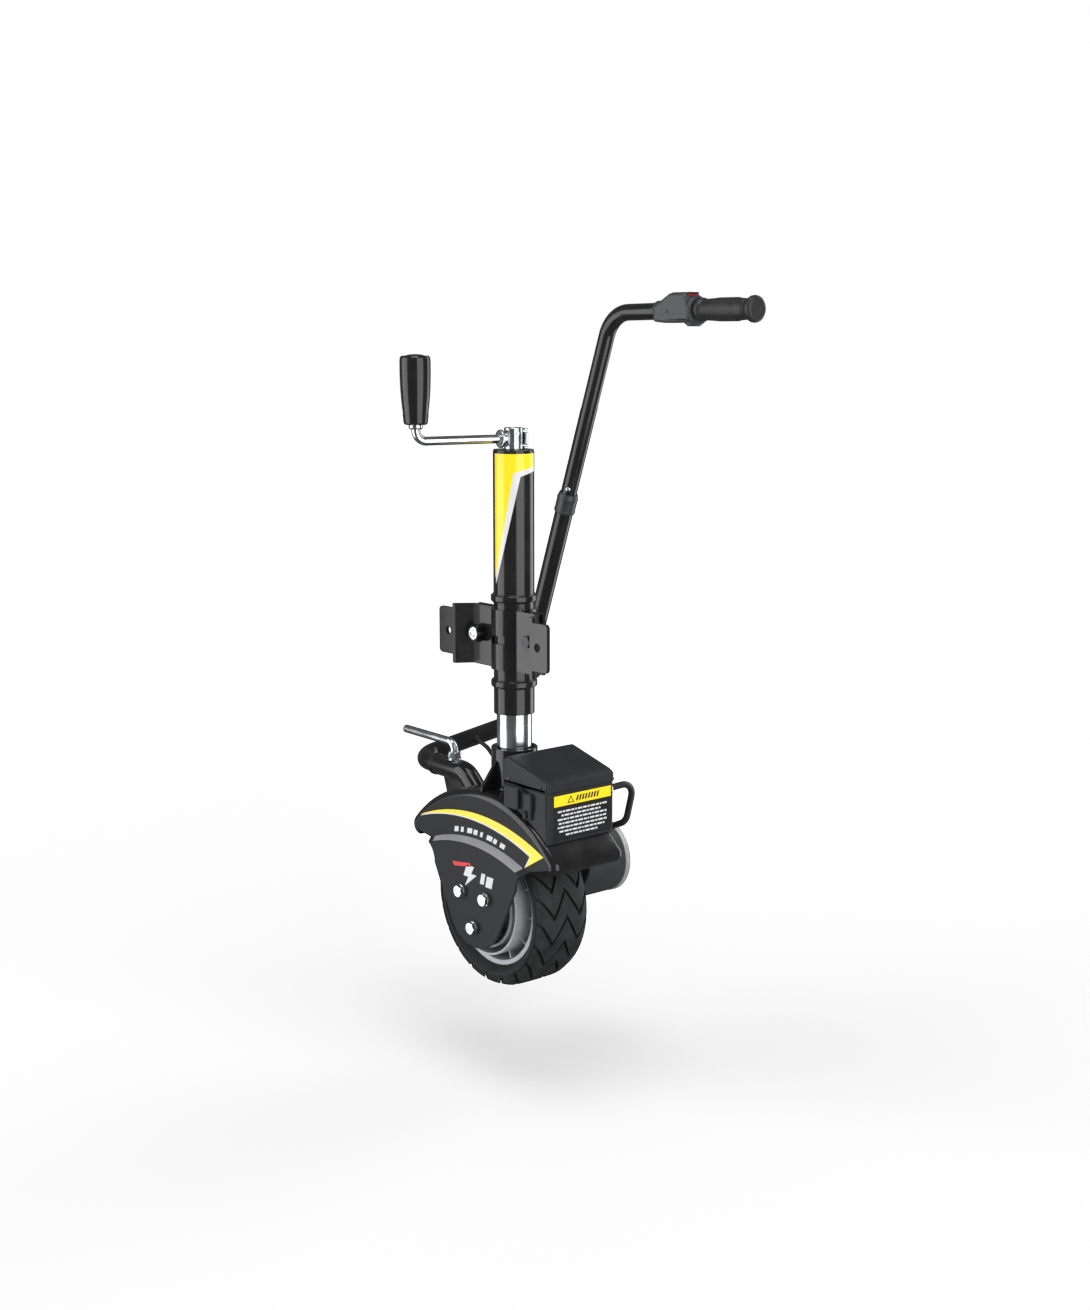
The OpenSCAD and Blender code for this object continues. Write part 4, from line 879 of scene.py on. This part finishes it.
piece("cable_plug", put(lathe(rounded([(3, -4), (6.5, -4), (6.5, 0), (5.4, 2.4), (3.6, 4)], 0.8, 3), 32),
                        plug_at - Vector((3, 0, 0)), (1, 0, 0.1)), soft_rubber, "handle")

lever_lo, lever_hi = span("clamp_lever")
LEVER_X, LEVER_Z, LEVER_REACH = lever_hi.x - 6, lever_hi.z - 7, lever_hi.x - lever_lo.x - 6
lever_line = filleted([(LEVER_X, 0, RUN_Z + LOW_R + 1), (LEVER_X, 0, LEVER_Z),
                       (LEVER_X - LEVER_REACH + 3, 0, LEVER_Z + 1)], 14, 12)
ridges = [lathe([(5.6, z), (6.5, z + 0.5), (5.6, z + 1.0)], 40, closed=False) for z in range(12, 24, 2)]
piece("lever_bent", join(sweep(lever_line, 6, 32, 0.9),
                         put(join(*ridges), (LEVER_X, 0, RUN_Z + LOW_R))), zinc, "lever",
      "clamp_lever")
nut_lo, nut_hi = span("lever_nut")


def hex_head(across, height, dome=0.8, hole=0.0):
    """A hexagon with its chamfered top, as a lathe cut by six flats."""
    n = 72
    profile = [(across * 0.577, 0), (across * 0.577, height - 1.6), (across * 0.5, height)]
    points, faces = [], []
    for r, z in profile:
        for i in range(n):
            a = 2 * math.pi * i / n
            flat = across / 2 / math.cos((a + math.pi / 6) % (math.pi / 3) - math.pi / 6)
            q = min(flat, r)
            points.append((q * math.cos(a), q * math.sin(a), z))
    for k in range(2):
        for i in range(n):
            j = (i + 1) % n
            faces.append([k * n + i, k * n + j, (k + 1) * n + j, (k + 1) * n + i])
    faces.append(list(reversed(range(n))))
    if hole:
        first = len(points)
        for z in (height, height - 1.2):
            points += [(hole * math.cos(2 * math.pi * i / n), hole * math.sin(2 * math.pi * i / n), z)
                       for i in range(n)]
        for i in range(n):
            j = (i + 1) % n
            faces.append([2 * n + i, 2 * n + j, first + j, first + i])
            faces.append([first + i, first + j, first + n + j, first + n + i])
        faces.append(list(range(first + n, first + 2 * n)))
    else:
        first = len(points)
        for r, z in ((across * 0.36, height), (across * 0.33, height - dome)):
            points += [(r * math.cos(2 * math.pi * i / n), r * math.sin(2 * math.pi * i / n), z) for i in range(n)]
        for a, b in ((2 * n, first), (first, first + n)):
            for i in range(n):
                j = (i + 1) % n
                faces.append([a + i, a + j, b + j, b + i])
        faces.append(list(range(first + n, first + 2 * n)))
    return points, faces


piece("lever_boss", put(join(hex_head(19, nut_hi.z - nut_lo.z, hole=7),
                             lathe(rounded([(6, 0), (10.5, 0), (10.5, 3), (6, 3)], 0.6, 2), 48)),
                        (LEVER_X, 0, nut_lo.z)), zinc, "fork", "lever_nut")

# thin lead from the handle's run to the box
switch_line = filleted([
    plug_at, (-206, 110, RUN_Z + 8), (-130, 80, RUN_Z - 8), (-40, 76, RUN_Z + 12), (18, 72, RUN_Z + 14),
    (32, 50, RUN_Z + 14), (52, 50, RUN_Z + 14)], 14, 8)
even = []
for a, b in zip(switch_line, switch_line[1:]):
    pieces = max(1, int((b - a).length / 8))
    even += [a.lerp(b, k / pieces) for k in range(pieces)]
even.append(switch_line[-1])
thin_lead = piece("switch_lead", sweep(even, 3.0, 16), jacket, "", "switch_cable")


def row(point):
    """A point of the tube's frame, in metres in the scene's frame."""
    return Vector((point[0], point[1] + TUBE_Y, point[2])) * MM


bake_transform(thin_lead)


# ---------------------------------------------------------------- switch housing, rocker and grip

case_lo, case_hi = span("switch_housing")
CASE_X0 = case_lo.x
outline = rounded([
    (CASE_X0, -14, 5), (CASE_X0, 8, 3), (CASE_X0 + 34, 26.6, 7), (164, 26.6, 9), (170, 14, 8), (173.5, -10, 4),
    (173, -15, 4), (120, -16, 5)], steps=5)
case = put(plate([[(x, z + HANDLE_TOP) for x, z in outline]], -16.8, 16.8, 5.0, 5), (0, HANDLE_Y, 0), NEAR)
guard = put(lathe(rounded([(12, 0), (19, 0, 3), (21.6, 3, 2.4), (21.6, 6, 2.4), (19.5, 8, 1.5), (12, 8)],
                          0.5, 4), 72), (170, HANDLE_Y, HANDLE_TOP + 1), (1, 0, 0))
droop = put(plate([[(x, z + HANDLE_TOP) for x, z in rounded([
    (148, -12), (176.5, -12), (175, -21, 3), (163, -21, 5)], 3, 4)]], -10, 10, 3.5, 4), (0, HANDLE_Y, 0), NEAR)
sleeve = put(lathe(rounded([(12, -3), (14.6, -3), (14.6, 6), (12, 6)], 1, 3), 48),
             (CASE_X0, HANDLE_Y, HANDLE_TOP + 2), (1, 0, 0))
piece("switch_case", join(case, guard, droop, sleeve), dark_plastic, "handle", "switch_housing")
seam_line = put(block(CASE_X0 + 3, 168, -0.5, 0.5, 0, 0.25, 0.1), (0, HANDLE_Y - 16.8, HANDLE_TOP - 3), NEAR)
screw_ring = put(lathe([(0, 0.1), (2.2, 0.1), (2.9, 0.35), (3.3, 0.1), (3.3, -0.5), (0, -0.5)], 32),
                 (128, HANDLE_Y - 16.8, HANDLE_TOP), NEAR)
piece("case_screw", join(seam_line, screw_ring), label_black, "handle")
rocker_lo, rocker_hi = span("rocker")
ROCK_X = (rocker_lo.x + rocker_hi.x) / 2
rock_outline = rounded([(-14.3, -6, 1), (14.3, -6, 1), (14.3, 2.9, 1.2), (7, 1.2, 6), (0, 0.4, 6), (-7, 1.2, 6),
                        (-14.3, 2.9, 1.2)], steps=4)
ROCK_Z = rocker_hi.z - 3.5
piece("rocker_moulded", put(plate([[(x + ROCK_X, z + ROCK_Z) for x, z in rock_outline]], -8.7, 8.7, 1.0, 3),
                            (0, HANDLE_Y, 0), NEAR), red_plastic, "switch", "rocker")
bezel_out = rounded([(-17.5, -11.5), (17.5, -11.5), (17.5, 11.5), (-17.5, 11.5)], 2.5, 4)
bezel_in = rounded([(-15.2, -9.6), (15.2, -9.6), (15.2, 9.6), (-15.2, 9.6)], 1.2, 3)
piece("rocker_bezel", put(plate([bezel_out, bezel_in], 0, 2.6, 0.8, 2), (ROCK_X - 1, HANDLE_Y, HANDLE_TOP + 25.2)),
      gloss_plastic, "handle")

GRIP_X0, GRIP_LEN = grip_lo.x, grip_hi.x - grip_lo.x
barrel = [(0, 16.2), (2, 17), (6, 17), (9, 15.4), (10.5, 14.2), (12, 15.2), (16, 15.4), (30, 16.2), (45, 16.8),
          (60, 16.7), (75, 16.0), (88, 15.2), (91, 14.9), (92.4, 13.9), (93.8, 14.9), (97, 15.4), (100, 16.8),
          (103, 18.8), (106, 19.2), (109, 18.6), (111.2, 16.6), (112, 14)]
grip_profile = [(0.0, 0.0)] + [(r, x * GRIP_LEN / 112) for x, r in barrel] + [(5, GRIP_LEN), (4, GRIP_LEN - 1.5),
                                                                            (0, GRIP_LEN - 1.5)]
piece("grip_barrel", put(lathe(rounded([(r, x, 1.2) for r, x in grip_profile], steps=3), 72),
                         (GRIP_X0, HANDLE_Y, HANDLE_TOP + 2.4), (1, 0, 0)), soft_rubber, "handle",
      "grip")
ribs = []
for i in range(28):
    a = 2 * math.pi * i / 28
    ribs.append(put(block(0, 40, -0.5, 0.5, -0.7, 0.35, 0.3), (GRIP_X0 + 36, HANDLE_Y + 16.5 * math.cos(a),
                                                                HANDLE_TOP + 2.4 + 16.5 * math.sin(a)),
                    (0, math.cos(a), math.sin(a)), (1, 0, 0)))
piece("grip_ribs", join(*ribs), soft_rubber, "handle")


# ---------------------------------------------------------------- axle bolts, motor and gear housing

BOLT_R = 34.0
for i, angle in enumerate((30, 150, 270)):
    x, z = BOLT_R * math.cos(math.radians(angle)), AXLE_Z + BOLT_R * math.sin(math.radians(angle))
    washer = lathe(rounded([(5, 0), (11, 0), (11, 2.4), (5, 2.4)], 0.7, 3), 64)
    piece(f"axle_washer_{i}", put(washer, (x, -low_face, z), NEAR), satin_black, "fork",
          "bolt_washers")
    head = put(hex_head(17, 7, 0.7), (x, -low_face - 2.4, z), NEAR, (math.cos(i * 1.3), 0, math.sin(i * 1.3)))
    shank = put(lathe([(0, 0), (5, 0), (5, 14), (0, 14)], 32), (x, -low_face - 2.4, z), FAR)
    flange_face = put(lathe([(6, 0.0), (9.4, 0.0), (9.4, 0.8), (6, 1.2)], 48, closed=False),
                      (x, -low_face - 2.4, z), NEAR)
    piece(f"axle_bolt_{i}", join(head, shank, flange_face), zinc, "fork", "axle_bolts")

can_lo, can_hi = span("motor_can")
MOTOR_Z, MOTOR_R = (can_lo.z + can_hi.z) / 2, (can_hi.z - can_lo.z) / 2
CAN_Y0, CAN_Y1 = can_lo.y - TUBE_Y, can_hi.y - TUBE_Y
housing = rounded([(6.1, 0), (MOTOR_R - 14, 0), (MOTOR_R - 3, 1.5, 3), (MOTOR_R, 5, 2), (MOTOR_R, 16.5, 0.8),
                   (MOTOR_R - 0.8, 18, 0.5), (MOTOR_R - 8, 18, 0.3), (MOTOR_R - 8, 6, 2), (6.1, 6)], 0.5, 4)
lugs = [put(block(-7, 7, -4, 4, 1, 17.6, 1.2, 3), ((MOTOR_R - 2.4) * math.cos(a), 0, (MOTOR_R - 2.4) * math.sin(a)),
            FAR, (-math.sin(a), 0, math.cos(a))) for a in [math.radians(d) for d in (20, 100, 170, 250, 320)]]
piece("gear_case", join(put(lathe(housing), (0, PLATE_Y, MOTOR_Z), FAR),
                        *[([(x, y + PLATE_Y, z + MOTOR_Z) for x, y, z in lug[0]], lug[1]) for lug in lugs]),
      satin_black, "fork", "gear_housing")
can_len = CAN_Y1 - CAN_Y0
can = rounded([(MOTOR_R - 3, 0), (MOTOR_R, 0, 1), (MOTOR_R, 5, 0.3), (MOTOR_R - 0.8, 6, 0.3), (MOTOR_R - 0.8, 9, 0.3),
               (MOTOR_R, 10, 0.3), (MOTOR_R, can_len, 0.8), (MOTOR_R - 3, can_len)], 0.4, 2)
piece("motor_shell", put(lathe(can, 128), (0, CAN_Y0, MOTOR_Z), FAR), satin_black, "fork",
      "motor_can")
cap_lo, cap_hi = span("motor_end_cap")
CAP_LEN, CAP_R = cap_hi.y - cap_lo.y, (cap_hi.z - cap_lo.z) / 2
end_cap = rounded([(0, 0.3), (CAP_R - 1, 0.3), (CAP_R, 1.2, 0.6), (CAP_R, 8.4, 1.6), (CAP_R - 2.4, 10, 1.5),
                   (CAP_R - 6, 10, 1), (CAP_R - 8, CAP_LEN, 2), (21, CAP_LEN, 2), (18, CAP_LEN - 2.4, 2),
                   (15, CAP_LEN, 1), (0, CAP_LEN)], 0.5, 4)
piece("end_cap_cast", put(lathe(end_cap, 128), (0, CAN_Y1, MOTOR_Z), FAR), cast_silver, "fork",
      "motor_end_cap")


def pan_head(r, h, n=48):
    """A pan screw head with a round recess."""
    return lathe(rounded([(0, -1, 0), (r, -1, 0), (r, h * 0.55, h * 0.4), (r * 0.55, h, 1), (r * 0.3, h, 0.3),
                          (r * 0.25, h - 0.8, 0), (0, h - 0.8, 0)], steps=3), n)


heads = []
for a in (35, 155, 275):
    place = (42 * math.cos(math.radians(a)), CAN_Y1 + CAP_LEN, MOTOR_Z + 42 * math.sin(math.radians(a)))
    heads.append(put(pan_head(4.0, 4.6), place, FAR))
box_lo, box_hi = span("box_base")
BOX_X0, BOX_X1 = box_lo.x, box_hi.x
BOX_Y0, BOX_Y1 = box_lo.y - TUBE_Y, box_hi.y - TUBE_Y
lid_lo, lid_hi = span("box_lid")
SEAM = lid_lo.z - 0.4
for x in (BOX_X0 + 12, BOX_X1 - 14):
    for s in (-1, 1):
        place = (x, (BOX_Y1 + 1) if s > 0 else (BOX_Y0 - 1), SEAM + 7)
        heads.append(put(pan_head(3.5, 1.8, 32), place, FAR if s > 0 else NEAR))
piece("cover_screw_heads", join(*heads), dark_steel, "fork", "cover_screws")


# ---------------------------------------------------------------- control box

def box_profile(low, inset=0.0):
    top_back, top_front = lid_hi.z - 1 - inset, -192 - inset
    return [(BOX_X0 - 1 + inset, low, 0.5), (BOX_X1 + 1 - inset, low, 0.5), (BOX_X1 + 1 - inset, top_front + 2, 5),
            (BOX_X1 - 8, top_front + 6.6, 6), (BOX_X0 + 9, top_back + 1, 6), (BOX_X0 - 1 + inset, top_back - 4, 5)]


lid_mid = (BOX_Y0 + BOX_Y1) / 2
LID_HALF = (BOX_Y1 - BOX_Y0) / 2 + 1
lid_shape = put(plate([rounded(box_profile(SEAM + 0.5), steps=5)], -LID_HALF, LID_HALF, 4.2, 5),
                (0, lid_mid, 0), NEAR)
piece("lid_moulded", lid_shape, box_plastic, "fork", "box_lid", sharp=30)
foot_line = [(x, guard_height(x) + 0.2) for x in np.linspace(BOX_X1, BOX_X0, 14)]
base_outline = [(BOX_X0, SEAM), (BOX_X1, SEAM)] + foot_line
base_shape = put(plate([rounded([(x, z, 2.0 if i in (0, 1, 2, 15) else 0) for i, (x, z) in enumerate(base_outline)],
                                steps=4)], -LID_HALF + 1, LID_HALF - 1, 3.4, 5), (0, lid_mid, 0), NEAR)
skirt = put(plate([rounded([(BOX_X0 + 1, SEAM - 1), (BOX_X1 - 1, SEAM - 1), (BOX_X1 - 1, SEAM + 1.5),
                            (BOX_X0 + 1, SEAM + 1.5)], 0.5, 2)], -LID_HALF + 2.4, LID_HALF - 2.4, 0.5, 2),
            (0, lid_mid, 0), NEAR)
piece("base_moulded", join(base_shape, skirt), box_plastic, "fork", "box_base", sharp=30)
front = (BOX_X1, 0, 0)


def on_front(outline, depth=0.25, proud=0.0):
    """An outline in Y and Z laid on the box's front face."""
    return put(plate([outline], proud - 0.2, proud + depth, 0.05, 1), front, (1, 0, 0), (0, 1, 0))


piece("label_field", on_front(rounded([(-50, -276), (61, -276), (61, -208), (-50, -208)], 1.5, 3), 0.15),
      label_black, "fork")
piece("label_bar", on_front([(-49, -225.5), (60, -225.5), (60, -209.6), (-49, -209.6)], 0.3), yellow, "fork")
marks = [on_front(sheared(-8 + 5.6 * i, -221.5, 3.4, 8, 0.35), 0.42) for i in range(8)]
sign = on_front([(-24, -222.5), (-11, -222.5), (-17.5, -211.6)], 0.42)
piece("label_marks", join(sign, *marks), label_black, "fork")
piece("label_sign_inner", on_front([(-21.4, -221.2), (-13.6, -221.2), (-17.5, -214.4)], 0.5), yellow, "fork")
lines = []
for i, (start, end) in enumerate([(-42, 52), (-35, 44), (-42, 53), (-40, 51), (-42, 52), (-39, 48), (-27, 34)]):
    z = -233.5 - 5.9 * i
    y, k = start, 0
    while y < end - 3:
        width = [7.5, 4.2, 9.0, 5.5, 3.2, 8.2][(k + i) % 6]
        stop = min(y + width, end)
        lines.append(on_front([(y, z - 1.3), (stop, z - 1.3), (stop, z + 1.3), (y, z + 1.3)], 0.3))
        y, k = stop + 1.7, k + 1
piece("label_lines", join(*lines), white, "fork")

sock_lo, sock_hi = span("power_socket")
flap_lo, flap_hi = span("socket_flap")
FLAP_X, FLAP_HALF = (flap_lo.x + flap_hi.x) / 2, (flap_hi.x - flap_lo.x) / 2
hood = put(plate([rounded([(FLAP_X - 17, -236, 2), (FLAP_X + 38, -236, 2), (FLAP_X + 38, -211, 3),
                           (FLAP_X + 17, -209, 3), (FLAP_X + 14, -203, 8),
                           (FLAP_X - 12, -201, 12), (FLAP_X - 17, -210, 6)], 2, 4),
                  circle(10, 40, FLAP_X, -224)], -BOX_Y0, -sock_lo.y + TUBE_Y, 1.4, 3), (0, 0, 0), NEAR)
barrel_in = put(lathe(rounded([(10, -6), (12, -6), (12, 8), (0, 8), (0, 7), (10, 7)], 0.3, 2), 48),
                (FLAP_X, BOX_Y0, -224), FAR)
ledge = [put(block(x, x + 5, -248, -209, 0, 5, 1.2, 1.6), (0, BOX_Y0, 0), NEAR) for x in (102, 113)]
piece("socket_block", join(hood, barrel_in, *ledge), box_plastic, "fork", "power_socket")
flap_y = [-(flap_lo.y - TUBE_Y), -(flap_lo.y - TUBE_Y) - 4]
flap_face = put(plate([rounded([(flap_lo.x, -236, 5), (flap_hi.x, -236, 5), (flap_hi.x, -206, 6),
                                (flap_hi.x - 5, -203, 6), (flap_lo.x + 5, -203, 9), (flap_lo.x, -208, 6)],
                               steps=5)], flap_y[1], flap_y[0], 1.5, 4), (0, 0, 0), NEAR)
flap_hinge = put(lathe(rounded([(0, 0), (2.9, 0), (2.9, 2 * FLAP_HALF), (0, 2 * FLAP_HALF)], 0.6, 2), 32),
                 (flap_lo.x, flap_lo.y - TUBE_Y + 3, flap_hi.z - 3), (1, 0, 0))
piece("flap_moulded", join(flap_face, flap_hinge), box_plastic, "flap", "socket_flap")
latch_lo, latch_hi = span("box_latch")
latch = put(plate([rounded([(latch_lo.x, latch_lo.z, 4), (latch_hi.x, latch_lo.z, 4), (latch_hi.x, latch_hi.z, 2),
                            (latch_lo.x, latch_hi.z, 2)], steps=4)], -BOX_Y0, -BOX_Y0 + 4, 1.2, 3), (0, 0, 0), NEAR)
tab = put(plate([rounded([(104, -248, 2.5), (110, -248, 2.5), (110, -238.2, 1), (104, -238.2, 1)], steps=3)],
                -BOX_Y0 + 3, -BOX_Y0 + 8, 1.0, 3), (0, 0, 0), NEAR)
piece("latch_moulded", join(latch, tab), box_plastic, "fork", "box_latch")

gland_lo, gland_hi = span("cable_gland")
GLAND_X, GLAND_Z = (gland_lo.x + gland_hi.x) / 2, (gland_lo.z + gland_hi.z) / 2
crown_nut = lathe(rounded([(4.6, 5.8), (8.6, 5.8), (8.6, 10, 0.6), (7.8, 13, 1), (6.2, 14.2, 1), (4.6, 14.2)],
                          0.4, 3), 48)
piece("gland_turned", put(join(hex_head(22, 6, hole=8), crown_nut), (GLAND_X, BOX_Y1, GLAND_Z), FAR), zinc, "fork",
      "cable_gland")
motor_line = filleted([(GLAND_X, BOX_Y1 - 2, GLAND_Z), (GLAND_X + 2, 126, GLAND_Z + 4),
                       (GLAND_X - 16, 126, GLAND_Z - 62), (20, 112, MOTOR_Z + MOTOR_R - 12)], 24, 12)
boot = put(lathe(rounded([(4.4, -2), (8, -2), (7.4, 4), (5.6, 12), (4.6, 16)], 1, 4), 40),
           (33, 112.7, MOTOR_Z + MOTOR_R - 8.5), (0.93, 0.05, 0.35))
piece("motor_lead", join(sweep(motor_line, 4.5, 24), boot), jacket, "fork", "motor_cable")


# ---------------------------------------------------------------- stage, light and camera

def light(name, place, aim, width, height, power):
    data = bpy.data.lights.new(name, "AREA")
    data.shape = "RECTANGLE"
    data.size, data.size_y, data.energy = width, height, power
    lamp = bpy.data.objects.new(name, data)
    lamp.location = place
    lamp.visible_camera = False
    lamp.rotation_mode = "QUATERNION"
    lamp.rotation_quaternion = (Vector(aim) - Vector(place)).to_track_quat("-Z", "Y")
    bpy.context.scene.collection.objects.link(lamp)


VIEW_TURN, VIEW_TILT = math.radians(50), math.radians(10)
forward = Vector((-math.sin(VIEW_TURN) * math.cos(VIEW_TILT), math.cos(VIEW_TURN) * math.cos(VIEW_TILT),
                  -math.sin(VIEW_TILT)))
camera = bpy.data.cameras.new("camera")
camera.sensor_fit = "VERTICAL"
camera.sensor_height = 36
camera.lens = 49.47
camera_object = bpy.data.objects.new("camera", camera)
camera_object.location = (2.055, -1.6213, 0.437)
camera_object.rotation_mode = "QUATERNION"
camera_object.rotation_quaternion = forward.to_track_quat("-Z", "Y")
bpy.context.scene.collection.objects.link(camera_object)
bpy.context.scene.camera = camera_object

# the clamp is held, so the wheel goes down when it is wound out, and the floor lies just below its lowest reach
WIND_DOWN = 150
FLOOR_GAP = 1
ground = (tyre_lo.z - WIND_DOWN - FLOOR_GAP) * MM
bpy.ops.mesh.primitive_plane_add(size=40, location=(0, 0, ground))
floor = bpy.context.object
floor.name = "floor"
floor.data.materials.append(node_material("pale_floor", (0.86, 0.86, 0.86), 0.75, mottle=(2, 0.01)))
floor.is_shadow_catcher = True
floor.visible_glossy = False

# a white surround for the camera and a dim one in reflections, so that black surfaces stay black
world = bpy.data.worlds.new("world")
bpy.context.scene.world = world
world.use_nodes = True
sky = world.node_tree
surround = sky.nodes["Background"]
surround.inputs["Color"].default_value = (1, 1, 1, 1)
ray = sky.nodes.new("ShaderNodeLightPath")
seen = sky.nodes.new("ShaderNodeMix")
seen.inputs[2].default_value = 0.45
seen.inputs[3].default_value = 0.10
sky.links.new(ray.outputs["Is Glossy Ray"], seen.inputs[0])
shown = sky.nodes.new("ShaderNodeMix")
shown.inputs[3].default_value = 1.0
sky.links.new(ray.outputs["Is Camera Ray"], shown.inputs[0])
sky.links.new(seen.outputs[0], shown.inputs[2])
sky.links.new(shown.outputs[0], surround.inputs["Strength"])


def softbox(name, turn, distance, width, height, glow, centre_z=0.2):
    """A tall light that faces the object from the direction turn, in degrees about Z."""
    a = math.radians(turn)
    place = (distance * math.cos(a), TUBE_Y * MM + distance * math.sin(a), centre_z)
    light(name, place, (0, TUBE_Y * MM, centre_z * 0.4), width, height, glow * 4 * width * height)


softbox("box_left", -120, 2.2, 1.9, 3.4, 2.0)
softbox("box_right", -1, 2.2, 1.9, 3.4, 2.0)
softbox("box_back", 83, 2.2, 1.2, 3.4, 1.6)
light("top", (0.4, -0.4, 2.8), (0, 0, 0), 1.6, 1.6, 30)
bpy.context.scene.view_settings.view_transform = "Standard"
